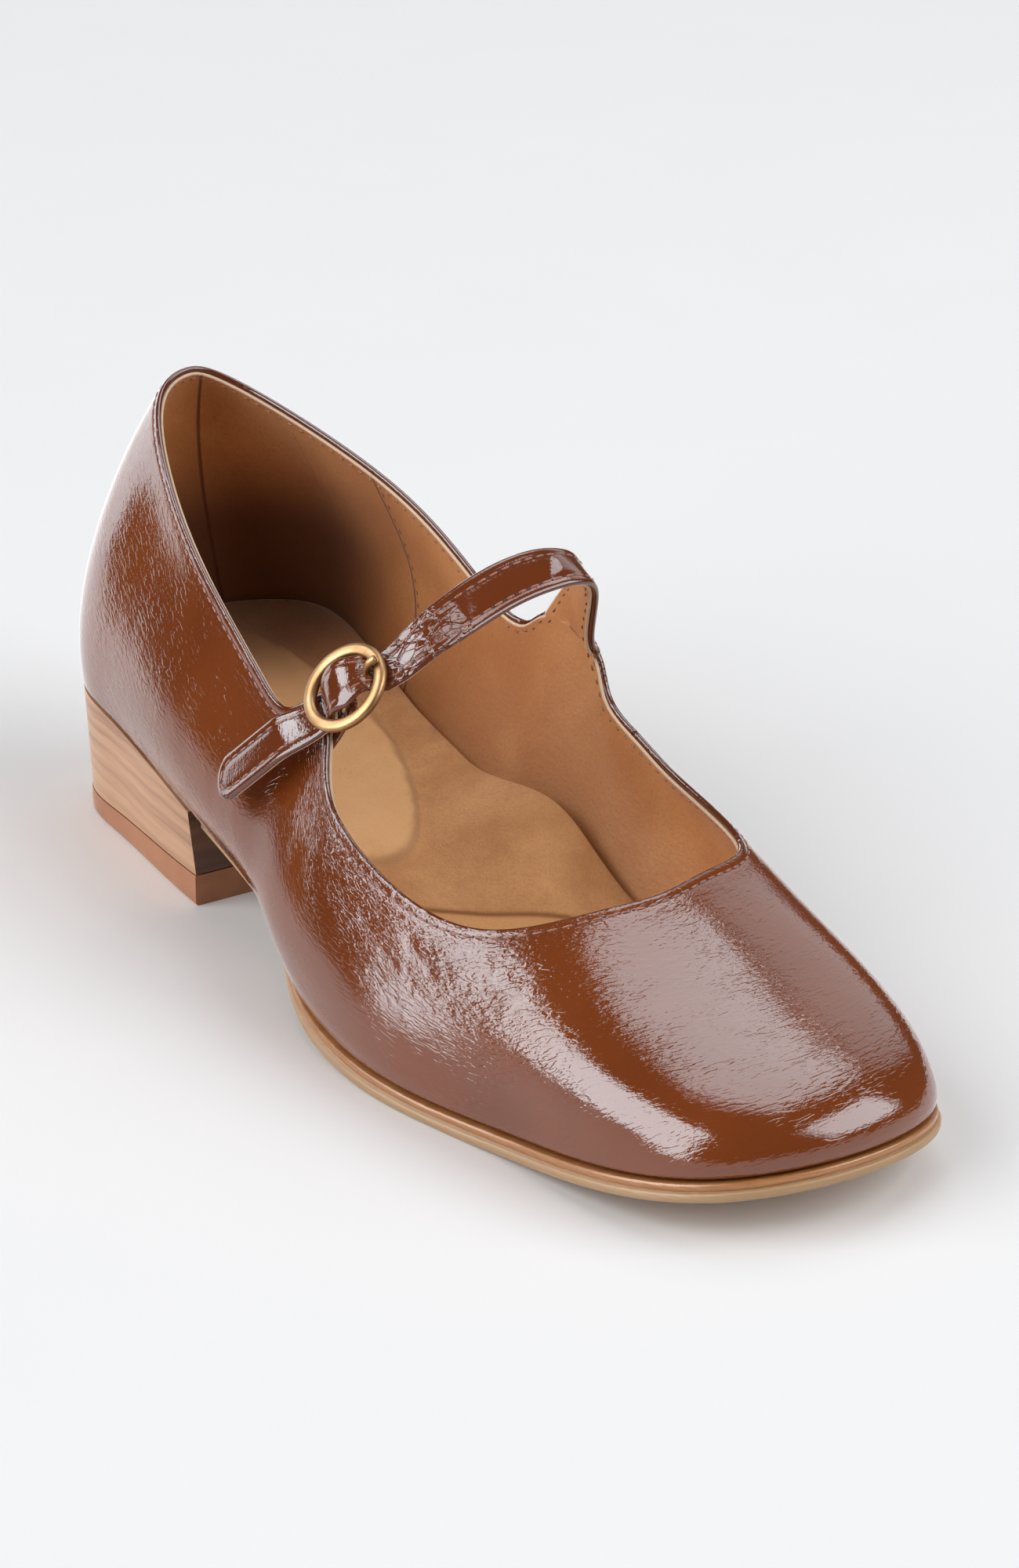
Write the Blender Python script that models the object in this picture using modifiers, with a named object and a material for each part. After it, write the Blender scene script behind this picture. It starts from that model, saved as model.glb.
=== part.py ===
"""A right shoe: a square-toed Mary Jane on a low stacked heel, its strap closed by a round buckle.

Run it with  blender --background --python part.py  or from Blender's text editor.

The tables are in millimetres and use the shoemaker's own measures:
  station  distance along the foot from the back of the heel towards the toe
  side     distance from the foot's middle line, positive towards the inner (medial) side
  height   distance above the floor
Blender's frame is metres, +Z up, the toe towards -Y and the inner side towards +X, with the
origin on the floor below the middle of the shoe's bounding box.
"""

import math

import bmesh
import bpy
import numpy as np
from mathutils import Matrix

MM = 0.001
GAP = 0.3  # clearance between two pieces that touch in the real shoe

# ---- driving sizes, mm
SHOE_LENGTH = 252.0  # along the feather edge, from the back of the heel to the toe
BALL_WIDTH = 86.0  # across the feather edge at the ball of the foot
COLLAR_HEIGHT = 93.5  # top of the collar at the back of the heel
HEEL_HEIGHT = 30.0  # seat of the foot at the back of the heel
UPPER_WALL = 2.0  # outer leather and lining together
MARGIN_WIDTH = 9.0  # lasting margin that is turned in under the insole
SOLE_THICKNESS = 3.8
INSOLE_THICKNESS = 3.0
INSOLE_BED_GAP = 0.4  # the insole hangs this far above the turned-in margin
BREAST_STATION = 79.0  # front face of the heel, at the top
BREAST_SLOPE = 0.8  # how far forward the breast comes at its foot
LIFT_AT_BACK = 3.5  # the rubber top lift is a wedge
LIFT_AT_BREAST = 6.8
ORIGIN_STATION = 133.49  # the point that the frame's origin lies under
ORIGIN_SIDE = -0.96
HEEL_DRAW_IN = 1.4  # the heel block's foot lies this far in from the feather edge
HEEL_TOP_DRAW_IN = 0.3  # and its top this far
LIFT_DRAW_IN = 1.2
LIFT_ROUNDING = 0.6  # the lift's walking edge is drawn in by this much more

# ---- buckle, mm
RING_RADIUS = 8.3  # to the middle of the ring's section
RING_HALF_WIDTH = 1.35
RING_HALF_DEPTH = 1.05
RING_SIDES = 10  # facets round the ring's section
RING_STEPS = 32  # facets round the ring
BAR_RADIUS = 0.7
BAR_DROP = 1.2  # the centre bar lies below the ring's middle plane
BAR_SHOULDER = 2.6  # length at each end over which the bar comes down from the ring
KEEPER_WIDTH = 8.0
KEEPER_THICKNESS = 0.7
SLOT_LENGTH = 9.0  # the slot in the keeper's loop, which the prong swings in
SLOT_OFFSET = 0.6  # its middle lies this far from the bar, towards the prong's side
PRONG_RADIUS = 0.8
PRONG_END = 0.6  # the prong ends this far beyond the middle of the ring's rim
STRAP_ARCH_RUN = 6.5  # from the bar to where the strap dips under the ring
STRAP_ARCH_RISE = 4.4
STRAP_ARCH_CROWN = 0.65  # the share of the arch's two radii that its crown has
STRAP_CROWNING = 0.08  # the arch falls off towards the strap's edges by this share of its height
STRAP_BULGE = 1.1  # inside the ring the strap swells this much at each side
STRAP_BULGE_REACH = 4.8
STRAP_BULGE_DROP = 0.35  # and its edges turn down by this
STRAP_DIP = 1.45  # how far the strap's face lies below the ring's middle plane at the rim
STRAP_DIP_FADE = 10.0  # the length over which the dip runs out beyond the ring
STRAP_BLEND = 13.0  # the length over which the strap draws in from its root to its own width

# The height of the upper's underside along the foot: seat, arch, ball and toe spring.
SEAT_HEADINGS = ("station", "height")
SEAT_ROWS = (
    (-5, HEEL_HEIGHT + 0.6),
    (30, 28.0),
    (60, 24.8),
    (90, 19.0),
    (120, 10.6),
    (145, 5.4),
    (170, 3.8),
    (195, 3.8),
    (215, 5.6),
    (235, 9.0),
    (262, 14.6),
)

# One row for each line that runs up the upper, from the feather edge, where the wall turns in under
# the foot, to the topline. The lines go round by the outer side to the toe and back by the inner side.
#   foot_reach, foot_bulge  how far the wall heads up, and outwards, as it leaves the feather edge
#   top_reach, top_bulge    how far below the topline, and outwards of it, the wall heads for it
#   steps                   number of strips to the next row
UPPER_HEADINGS = (
    "edge_station", "edge_side", "top_station", "top_side", "top_height",
    "foot_reach", "foot_bulge", "top_reach", "top_bulge", "steps", "name",
)
UPPER_ROWS = (
    (7, -1, 17, 0, 93.5, 29, 2, 16, 10, 4, "heel back"),
    (14, -23, 21, -8, 91.5, 27, 2, 13, 9, 6, "heel corner, outer"),
    (40, -33, 48, -21, 80, 23, 5, 17, 4, 6, "heel side, outer"),
    (80, -35.5, 81, -27, 66, 18, 8, 14, 4, 4, "waist, outer"),
    (103, -35.5, 102, -29.5, 58, 16, 9, 14, 3, 2, "behind buckle tab"),
    (111, -36.2, 112, -29.5, 56, 16, 9, 14, 3, 2, "buckle tab, rear foot"),
    (116, -37.2, 117, -28, 59, 16, 9, 14, 3, 3, "buckle tab, rear top"),
    (125, -39.6, 125, -28.4, 58.5, 16, 9, 14, 3, 2, "buckle tab, front top"),
    (132, -41.3, 129, -30.8, 53, 16, 8, 14, 3, 4, "buckle tab, front foot"),
    (162, -44.2, 142, -33.8, 42.2, 14, 6, 10, 5, 5, "ball, outer"),
    (208, -35, 180, -29.5, 36.5, 12, 3.5, 8, 10, 6, "throat corner, outer"),
    (250.5, -20.5, 196, -11, 41.5, 12, 2, 14, 27, 5, "toe corner, outer"),
    (259, 5, 197.5, 2.3, 42.3, 14, 3, 16, 33, 5, "toe"),
    (249, 29.5, 193, 15.5, 41.8, 12, 2.5, 14, 27, 6, "toe corner, inner"),
    (213, 38.4, 183, 31, 40, 12, 3.5, 8, 10, 6, "throat corner, inner"),
    (176, 41.6, 151, 37, 41.4, 14, 5, 10, 4, 4, "ball, inner"),
    (150, 33.3, 136.5, 37.3, 45, 15, 6, 13, 1, 3, "instep, inner"),
    (139, 28.8, 127, 37.3, 49.6, 17, 6, 14, 0, 3, "in front of strap"),
    (131, 26.3, 123.2, 37.3, 56.9, 18, 7, 15, 0, 6, "strap root, front"),
    (117, 22.6, 108.8, 34.4, 62.0, 20, 8, 16, 1, 3, "strap root, rear"),
    (107, 22, 102.4, 33.4, 57.9, 20, 9, 16, 2, 3, "behind strap"),
    (84, 23.5, 86, 30.5, 63.3, 20, 10, 16, 3, 6, "waist, inner"),
    (37, 31.6, 45, 22.7, 80, 24, 6.4, 16, 7, 5, "heel side, inner"),
    (14, 20.8, 19, 7, 91.8, 27, 3, 14, 10, 4, "heel corner, inner"),
)
STRAP_FIRST_ROW = 18  # the strap grows out of the topline between these two rows
STRAP_LAST_ROW = 19

# The section of the lower wall, from the inner rim of the lasting margin out round the feather edge.
FOOT_ROWS = (  # inset, rise
    (MARGIN_WIDTH, 0),
    (4.6, 0),
    (1.5, 0),
    (0.4, 0.5),
    (0, 1.6),
)
WALL_LEVELS = 9

# The middle line of the strap's outer face, from the inner side of the upper, over the instep,
# through the buckle and down to its free tip. Roll turns the strap about its own length.
STRAP_HEADINGS = ("station", "side", "height", "width", "roll", "name")
STRAP_ROWS = (
    (115.4, 36.4, 61.0, 19.6, -14, "root"),
    (124.5, 33.4, 71.6, 10.8, -17, "rise"),
    (131.2, 27.0, 80.8, 10.2, -19, "crest"),
    (133.8, 13.4, 83.0, 10.2, -36, "over"),
    (134.8, -1.6, 79.4, 10.2, -33, "middle"),
    (135.2, -15.7, 73.8, 10.2, -12, "fall"),
    (130.1, -26.5, 66.2, 9.4, -7, "buckle"),
    (121.4, -35.5, 55.3, 10.2, 7, "free part"),
    (106.3, -42.5, 39.7, 10.2, 16, "tip"),
)
STRAP_BUCKLE_ROW = 6
STRAP_LANES = 6  # strips across the strap

# Inside the buckle, "along" runs from its bar towards the strap's tip and "out" is height above the
# ring's middle plane. The prong rises from the bar to the rim, and the keeper's tail goes down
# from the bar inside the upper.
PRONG_ROWS = (  # along, out
    (-3.0, 0.75),
    (-5.2, 1.35),
    (-6.9, 2.05),
)
KEEPER_ROWS = (  # along, out
    (2.4, -4.2),
    (4.6, -6.2),
    (7.4, -7.75),
    (10.0, -8.95),
    (12.5, -10.15),
    (16.5, -11.8),
    (20.0, -13.15),
)

# The edge of the outsole: how far out of the feather edge, and what share of the way down.
SOLE_EDGE_ROWS = (  # out, down
    (0.2, 0),
    (0.9, 0.05),
    (1.1, 0.12),
    (1.1, 0.36),
    (0.6, 0.42),
    (1.6, 0.5),
    (1.7, 0.58),
    (1.7, 0.88),
    (1.2, 1),
)
SOLE_TUCK = 3.0  # in the waist the sole's edge lies this far in from the feather edge
SOLE_TUCK_STATION = 105.0  # there it starts to come out
SOLE_FULL_STATION = 150.0  # from there on the whole edge shows

# The section of the insole's edge, from its underside up: how far in from the feather edge, and
# what share of its thickness up.
INSOLE_EDGE_ROWS = (  # inset, up
    (3.6, 0),
    (3.3, 0.4),
    (3.9, 1),
)

# The insole's soft relief: a raised arch along its inner side, a rim round the heel and a ball pad.
# Each swelling is highest at its station and side, and runs out at its reach from them.
RELIEF_ROWS = (  # rise, station, reach, side, side_reach, name
    (6.0, 98, 55, 27, 31, "arch"),
    (10.5, 127, 29, 27, 28, "peak of the arch"),
    (1.6, 30, 60, 27, 27, "heel rim, inner"),
    (1.6, 30, 60, -27, 27, "heel rim, outer"),
    (1.8, 128, 34, 2, 34, "ball pad"),
)
ARCH_STATION = 120.0  # the arch leans out against the lining, most of all here
ARCH_REACH = 48.0
ARCH_FLARE = 3.4


# ---- curves

def table(headings, rows):
    """The table's columns of numbers, by name."""
    columns = zip(*rows)
    return {
        heading: np.array(column, float)
        for heading, column in zip(headings, columns)
        if heading != "name"
    }


def spline_slopes(knots, values, closed):
    """Slopes of the smooth cubic spline through values at knots. A closed one repeats its first value."""
    count = len(knots)
    rows = np.zeros((count, count))
    target = np.zeros_like(values)
    for i in range(count - 1):
        step = knots[i + 1] - knots[i]
        rise = 3 * (values[i + 1] - values[i]) / step ** 2
        for here, there in ((i, i + 1), (i + 1, i)):
            rows[here, here] += 2 / step
            rows[here, there] += 1 / step
            target[here] += rise
    if closed:  # the last knot is the first one again
        rows[0] += rows[-1]
        target[0] += target[-1]
        rows[-1] = 0
        rows[-1, 0] = 1
        rows[-1, -1] = -1
        target[-1] = 0
    return np.linalg.solve(rows, target)


def spline(knots, values, where, closed=False):
    """The spline's points at where, one row for each."""
    knots = np.asarray(knots, float)
    values = np.asarray(values, float)
    where = np.asarray(where, float)
    if closed:
        where = np.mod(where, knots[-1])
    slopes = spline_slopes(knots, values, closed)
    i = np.clip(np.searchsorted(knots, where, side="right") - 1, 0, len(knots) - 2)
    shape = where.shape + (1,) * (values.ndim - 1)
    step = (knots[i + 1] - knots[i]).reshape(shape)
    t = (where - knots[i]).reshape(shape) / step
    return (
        values[i] * (1 + 2 * t) * (1 - t) ** 2
        + values[i + 1] * t * t * (3 - 2 * t)
        + step * slopes[i] * t * (1 - t) ** 2
        - step * slopes[i + 1] * t * t * (1 - t)
    )


def unit(vectors):
    return vectors / np.linalg.norm(vectors, axis=-1, keepdims=True)


def arc_length(points):
    """Distance along the points from the first one."""
    return np.concatenate([[0], np.cumsum(np.linalg.norm(np.diff(points, axis=0), axis=1))])


def smooth_bump(distance, reach):
    """1 at no distance, falling softly to 0 at reach."""
    t = np.clip(1 - np.abs(distance) / reach, 0, 1)
    return t * t * (3 - 2 * t)


SEAT = table(SEAT_HEADINGS, SEAT_ROWS)
UPPER = table(UPPER_HEADINGS, UPPER_ROWS)
STRAP = table(STRAP_HEADINGS, STRAP_ROWS)

# The driving sizes stretch the table of the upper.
LENGTH_SCALE = SHOE_LENGTH / np.ptp(UPPER["edge_station"])
WIDTH_SCALE = BALL_WIDTH / np.ptp(UPPER["edge_side"])
COLLAR_SCALE = COLLAR_HEIGHT / UPPER["top_height"].max()
for heading in ("edge_station", "top_station"):
    UPPER[heading] = UPPER[heading].min() + (UPPER[heading] - UPPER[heading].min()) * LENGTH_SCALE
for heading in ("edge_side", "top_side"):
    UPPER[heading] = UPPER[heading] * WIDTH_SCALE
UPPER["top_height"] = UPPER["top_height"] * COLLAR_SCALE


def seat_height(station):
    """Height of the top of the sole and heel, which the upper stands on."""
    return spline(SEAT["station"], SEAT["height"], station)


# ---- the upper's own surface

UPPER_COLUMNS = [heading for heading in UPPER_HEADINGS if heading not in ("steps", "name")]


def upper_rounds():
    """The distance round the shoe of each row, the mean of the way along its edge and its topline."""
    edge = np.stack([UPPER["edge_station"], UPPER["edge_side"]], 1)
    top = np.stack([UPPER["top_station"], UPPER["top_side"], UPPER["top_height"]], 1)
    edge = np.vstack([edge, edge[:1]])
    top = np.vstack([top, top[:1]])
    return (arc_length(edge) + arc_length(top)) / 2


ROUNDS = upper_rounds()


def upper_samples():
    """The place round the shoe of every strip of the upper."""
    places = []
    for i, steps in enumerate(UPPER["steps"].astype(int)):
        places.extend(np.linspace(ROUNDS[i], ROUNDS[i + 1], steps, endpoint=False))
    return np.array(places)


def upper_lines(places):
    """Each column of the upper's table, smoothly between its rows, at these places round the shoe."""
    values = np.stack([UPPER[heading] for heading in UPPER_COLUMNS], 1)
    values = np.vstack([values, values[:1]])
    found = spline(ROUNDS, values, places, closed=True)
    return dict(zip(UPPER_COLUMNS, found.T))


def edge_outwards(places):
    """The level direction, (station, side), that points away from the foot at the feather edge."""
    step = 0.5
    ahead = upper_lines(places + step)
    behind = upper_lines(places - step)
    along = unit(np.stack([
        ahead["edge_station"] - behind["edge_station"],
        ahead["edge_side"] - behind["edge_side"],
    ], 1))
    return np.stack([along[:, 1], -along[:, 0]], 1)


def upper_surface(places):
    """Points (station, side, height) of the outer face: one row a place, from the margin to the topline."""
    line = upper_lines(places)
    edge = np.stack([line["edge_station"], line["edge_side"]], 1)
    outwards = edge_outwards(places)
    rings = []
    for inset, rise in FOOT_ROWS:
        flat = edge - outwards * inset
        rings.append(np.column_stack([flat, seat_height(flat[:, 0]) + GAP + rise]))
    foot = rings[-1]
    top = np.stack([line["top_station"], line["top_side"], line["top_height"]], 1)
    out = np.column_stack([outwards, np.zeros(len(places))])
    up = np.array([0.0, 0.0, 1.0])
    leave = foot + up * line["foot_reach"][:, None] + out * line["foot_bulge"][:, None]
    reach = top - up * line["top_reach"][:, None] + out * line["top_bulge"][:, None]
    for level in range(1, WALL_LEVELS + 1):
        t = level / WALL_LEVELS
        rings.append(
            (1 - t) ** 3 * foot + 3 * (1 - t) ** 2 * t * leave + 3 * (1 - t) * t * t * reach + t ** 3 * top
        )
    return np.stack(rings, 1)


# ---- the strap

STRAP_LINE = np.stack([STRAP["station"], STRAP["side"], STRAP["height"]], 1)
STRAP_KNOTS = arc_length(STRAP_LINE)
BUCKLE_ALONG = STRAP_KNOTS[STRAP_BUCKLE_ROW]
STRAP_LENGTH = STRAP_KNOTS[-1]


def strap_frame(along):
    """The strap's middle, its direction, the direction across it and the one out of its face."""
    middle = spline(STRAP_KNOTS, STRAP_LINE, along)
    step = 0.25
    ahead = spline(STRAP_KNOTS, STRAP_LINE, np.minimum(along + step, STRAP_LENGTH))
    behind = spline(STRAP_KNOTS, STRAP_LINE, np.maximum(along - step, 0))
    direction = unit(ahead - behind)
    forwards = np.array([1.0, 0.0, 0.0])
    level = unit(forwards - direction * (direction @ forwards)[:, None])
    face = np.cross(direction, level)
    roll = np.radians(spline(STRAP_KNOTS, STRAP["roll"], along))[:, None]
    across = np.cos(roll) * level + np.sin(roll) * face
    return middle, direction, across, np.cross(direction, across)


def strap_arch(from_bar):
    """How far the strap's face rises, or dips, as it comes up through the ring and over its bar."""
    reach = np.abs(from_bar)
    half_turn = 2 * math.atan(STRAP_ARCH_RISE / STRAP_ARCH_RUN)
    both_radii = STRAP_ARCH_RUN / math.sin(half_turn)
    crown_radius = STRAP_ARCH_CROWN * both_radii
    foot_radius = both_radii - crown_radius
    crown_run = crown_radius * math.sin(half_turn)
    crown = STRAP_ARCH_RISE - crown_radius + np.sqrt(
        np.maximum(crown_radius ** 2 - np.minimum(reach, crown_run) ** 2, 0)
    )
    from_foot = np.clip(STRAP_ARCH_RUN - reach, 0, STRAP_ARCH_RUN - crown_run)
    foot = foot_radius - np.sqrt(foot_radius ** 2 - from_foot ** 2)
    arch = np.where(reach < crown_run, crown, foot)
    dip = STRAP_DIP * smooth_bump(reach - RING_RADIUS - RING_HALF_WIDTH, STRAP_DIP_FADE)
    return arch - np.where(reach < RING_RADIUS + RING_HALF_WIDTH, STRAP_DIP, dip)


def strap_points(along, lane):
    """Points of the strap's outer face. Lane runs from -1 at its front edge to 1 at its rear edge."""
    middle, direction, across, face = strap_frame(along)
    bulge = smooth_bump(along - BUCKLE_ALONG, STRAP_BULGE_REACH)
    half = (spline(STRAP_KNOTS, STRAP["width"], along) / 2 + STRAP_BULGE * bulge)[:, None]
    height = strap_arch(along - BUCKLE_ALONG)
    crowning = STRAP_CROWNING * np.maximum(height, 0) * lane ** 2
    crowned = height - crowning - STRAP_BULGE_DROP * bulge * lane ** 6
    return middle - across * half * lane[:, None] + face * crowned[:, None]


def strap_stations():
    """Distances along the strap of its rows, closest together where it arches through the ring."""
    before = np.linspace(0, BUCKLE_ALONG - STRAP_ARCH_RUN - 1.5, 16)[1:]
    arch = BUCKLE_ALONG + np.linspace(-STRAP_ARCH_RUN, STRAP_ARCH_RUN, 13)
    after = np.linspace(BUCKLE_ALONG + STRAP_ARCH_RUN + 1.5, STRAP_LENGTH, 10)
    return np.concatenate([before, arch, after])


def strap_rows(root):
    """Rows of points of the strap. The first ones blend out of root, the points of the topline."""
    angles = np.linspace(-math.pi / 2, math.pi / 2, STRAP_LANES + 1)
    lanes = np.sin(angles)
    round_end = STRAP["width"][-1] / 2
    straight = STRAP_LENGTH - 1.2 * round_end
    rows = []
    for along in strap_stations():
        lane_end = STRAP_LENGTH - round_end * (1 - np.cos(angles))
        share = max(0.0, (along - straight) / (STRAP_LENGTH - straight))
        lane_along = along + (lane_end - STRAP_LENGTH) * share
        points = strap_points(lane_along, lanes)
        if along < STRAP_BLEND:
            start = strap_points(np.zeros(len(lanes)), lanes)
            points = points + (root - start) * (1 - along / STRAP_BLEND) ** 3
        rows.append(points)
    return rows


# ---- from tables to Blender

def to_world(points):
    """Points (station, side, height) in mm as Blender's (x, y, z) in metres."""
    points = np.asarray(points, float)
    return np.stack([
        points[..., 1] - ORIGIN_SIDE, ORIGIN_STATION - points[..., 0], points[..., 2]
    ], -1) * MM


def material(name, colour, roughness, metallic=0.0, coat=0.0):
    made = bpy.data.materials.new(name)
    made.use_nodes = True
    made.diffuse_color = (*colour, 1)
    shader = made.node_tree.nodes["Principled BSDF"]
    shader.inputs["Base Color"].default_value = (*colour, 1)
    shader.inputs["Roughness"].default_value = roughness
    shader.inputs["Metallic"].default_value = metallic
    shader.inputs["Coat Weight"].default_value = coat
    return made


def add_object(name, mesh, collection, made_of=None, sharp_angle=35):
    """An object of this mesh, shaded smooth between faces that meet at less than sharp_angle degrees."""
    piece = bpy.data.objects.new(name, mesh)
    collection.objects.link(piece)
    if made_of is not None:
        mesh.materials.append(made_of)
    mesh.shade_smooth()
    mesh.set_sharp_from_angle(angle=math.radians(sharp_angle))
    return piece


def mesh_of(name, bm):
    bmesh.ops.recalc_face_normals(bm, faces=bm.faces)
    mesh = bpy.data.meshes.new(name)
    bm.to_mesh(mesh)
    bm.free()
    return mesh


def loft(bm, loops, closed=True):
    """Faces between neighbouring loops of vertices, which all hold the same number."""
    for lower, upper in zip(loops, loops[1:]):
        count = len(lower)
        for i in range(count if closed else count - 1):
            j = (i + 1) % count
            bm.faces.new((lower[i], lower[j], upper[j], upper[i]))


def add_loop(bm, points):
    return [bm.verts.new(point) for point in to_world(points)]


def slab(outlines, cuts, side_cuts=()):
    """A closed solid through outlines of (station, side, height), its two ends filled.

    Its ends are divided at the stations in cuts and the sides in side_cuts, so that they can bend.
    """
    bm = bmesh.new()
    loops = [add_loop(bm, outline) for outline in outlines]
    loft(bm, loops)
    bm.faces.new(list(reversed(loops[0])))
    bm.faces.new(loops[-1])
    planes = [((0, (ORIGIN_STATION - cut) * MM, 0), (0, 1, 0)) for cut in cuts]
    planes += [(((cut - ORIGIN_SIDE) * MM, 0, 0), (1, 0, 0)) for cut in side_cuts]
    for point, normal in planes:
        everything = bm.verts[:] + bm.edges[:] + bm.faces[:]
        bmesh.ops.bisect_plane(bm, geom=everything, dist=0.4 * MM, plane_co=point, plane_no=normal)
    return bm


def bend(bm, height_at):
    """Moves every vertex to height_at(station, side, its own height), all in mm."""
    places = np.array([vert.co for vert in bm.verts]) / MM
    stations = ORIGIN_STATION - places[:, 1]
    heights = height_at(stations, places[:, 0] + ORIGIN_SIDE, places[:, 2])
    for vert, height in zip(bm.verts, heights):
        vert.co.z = height * MM


# ---- the pieces

def make_upper(collection, patent):
    """The upper: one hollow wall round the foot, open at the collar and throat, with its strap."""
    places = upper_samples()
    surface = upper_surface(places)
    bm = bmesh.new()
    rings = [add_loop(bm, surface[:, level]) for level in range(surface.shape[1])]
    loft(bm, rings)
    steps = UPPER["steps"].astype(int)
    first = steps[:STRAP_FIRST_ROW].sum()
    last = steps[:STRAP_LAST_ROW].sum()
    root = surface[first:last + 1, -1]
    lanes = [rings[-1][first:last + 1]] + [add_loop(bm, row) for row in strap_rows(root)]
    loft(bm, lanes, closed=False)
    upper = add_object("upper", mesh_of("upper", bm), collection, patent, sharp_angle=50)
    wall = upper.modifiers.new("wall", "SOLIDIFY")
    wall.thickness = UPPER_WALL * MM
    wall.offset = -1
    wall.use_even_offset = True
    return upper


def outline_at(places, outset):
    """The feather edge, moved outwards by outset, as points (station, side)."""
    line = upper_lines(places)
    edge = np.stack([line["edge_station"], line["edge_side"]], 1)
    return edge + edge_outwards(places) * np.asarray(outset, float).reshape(-1, 1)


def edge_places(breast, of_heel, count):
    """Places round the shoe, from the outer end of the breast line to the inner end."""
    dense = np.linspace(0, ROUNDS[-1], 2000, endpoint=False)
    station = upper_lines(dense)["edge_station"]
    crossings = dense[np.flatnonzero(np.diff(np.sign(station - breast)))]
    outer, inner = crossings.min(), crossings.max()
    if of_heel:
        return np.linspace(inner, outer + ROUNDS[-1], count)
    return np.linspace(outer, inner, count)


def sole_underside(station):
    """Height of the outsole's tread. It lies flat on the floor below the ball of the foot."""
    return np.maximum(seat_height(station) - SOLE_THICKNESS, 0)


def make_outsole(collection, sole_leather):
    """The outsole from the heel's breast to the toe, with the two steps of its edge."""
    places = edge_places(BREAST_STATION + GAP, False, 60)
    station = upper_lines(places)["edge_station"]
    shown = np.clip((station - SOLE_TUCK_STATION) / (SOLE_FULL_STATION - SOLE_TUCK_STATION), 0, 1)
    shown = shown * shown * (3 - 2 * shown)
    loops = []
    for out, down in SOLE_EDGE_ROWS:
        outline = outline_at(places, out * shown - SOLE_TUCK * (1 - shown))
        outline[[0, -1], 0] = BREAST_STATION + 2 * GAP
        loops.append(np.column_stack([outline, np.full(len(outline), 1 - down)]))
    cuts = np.arange(90, 256, 10)
    bm = slab(loops[::-1], cuts)

    def height_at(stations, sides, share):
        top = seat_height(stations)
        bottom = sole_underside(stations)
        return bottom + (top - bottom) * share

    bend(bm, height_at)
    bmesh.ops.triangulate(bm, faces=[face for face in bm.faces if len(face.verts) > 4])
    return add_object("outsole", mesh_of("outsole", bm), collection, sole_leather)


def lift_top(station):
    """Height of the wedge-shaped top lift's upper face."""
    share = station / BREAST_STATION
    return LIFT_AT_BACK + (LIFT_AT_BREAST - LIFT_AT_BACK) * share


def heel_outline(outset, breast):
    places = edge_places(BREAST_STATION, True, 34)
    outline = outline_at(places, outset)
    outline[[0, -1], 0] = breast
    return outline


def make_heel_block(collection, stacked):
    """The stacked heel block: D-shaped, its top bent to the seat and its foot a little drawn in."""
    loops = []
    for share in (0, 0.25, 0.5, 0.75, 1):
        draw_in = HEEL_DRAW_IN + (HEEL_TOP_DRAW_IN - HEEL_DRAW_IN) * share
        outline = heel_outline(-draw_in, BREAST_STATION + BREAST_SLOPE * (1 - share))
        loops.append(np.column_stack([outline, np.full(len(outline), share)]))
    bm = slab(loops, np.arange(16, BREAST_STATION - 4, 10))

    def height_at(stations, sides, share):
        bottom = lift_top(stations) + GAP
        return bottom + (seat_height(stations) - bottom) * share

    bend(bm, height_at)
    bmesh.ops.triangulate(bm, faces=[face for face in bm.faces if len(face.verts) > 4])
    return add_object("heel_block", mesh_of("heel_block", bm), collection, stacked)


def make_heel_lift(collection, rubber):
    """The rubber top lift under the heel, its walking edge slightly rounded."""
    loops = []
    for rounding, share in ((LIFT_ROUNDING, 0.0), (0.0, 0.1), (0.0, 1.0)):
        outline = heel_outline(-LIFT_DRAW_IN - rounding, BREAST_STATION + BREAST_SLOPE)
        loops.append(np.column_stack([outline, np.full(len(outline), share)]))
    bm = slab(loops, np.arange(16, BREAST_STATION - 4, 10))

    def height_at(stations, sides, share):
        return lift_top(stations) * share

    bend(bm, height_at)
    bmesh.ops.triangulate(bm, faces=[face for face in bm.faces if len(face.verts) > 4])
    return add_object("heel_lift", mesh_of("heel_lift", bm), collection, rubber)


def insole_rise(stations, sides):
    """The insole's own relief: a raised arch on the inner side, a heel cup and a ball pad."""
    height = np.zeros(len(stations))
    for rise, station, reach, side, side_reach, _ in RELIEF_ROWS:
        height += rise * smooth_bump(stations - station, reach) * smooth_bump(sides - side, side_reach)
    return height


def make_insole(collection, suede):
    """The insole, which lies inside on the lasting margin."""
    places = np.linspace(0, ROUNDS[-1], 64, endpoint=False)
    base = GAP + UPPER_WALL + INSOLE_BED_GAP
    line = upper_lines(places)
    flare = ARCH_FLARE * smooth_bump(line["edge_station"] - ARCH_STATION, ARCH_REACH)
    flare = np.where(line["edge_side"] > 0, flare, 0)
    loops = []
    for inset, up in INSOLE_EDGE_ROWS:
        outline = outline_at(places, flare * up - inset)
        loops.append(np.column_stack([outline, np.full(len(outline), up)]))
    bm = slab(loops, np.arange(20, 250, 10), np.arange(-30, 36, 10))

    def height_at(stations, sides, share):
        edge = seat_height(stations) + base
        return edge + (INSOLE_THICKNESS + insole_rise(stations, sides)) * share

    bend(bm, height_at)
    bmesh.ops.triangulate(bm, faces=[face for face in bm.faces if len(face.verts) > 4])
    return add_object("insole", mesh_of("insole", bm), collection, suede)


def buckle_frame():
    """The ring's centre, the strap's direction through it, the way across and its normal, in world."""
    middle, direction, across, face = strap_frame(np.array([BUCKLE_ALONG]))
    centre = to_world(middle)[0]
    axes = [np.array([v[0, 1], -v[0, 0], v[0, 2]]) for v in (direction, across, face)]
    return centre, axes


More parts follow.
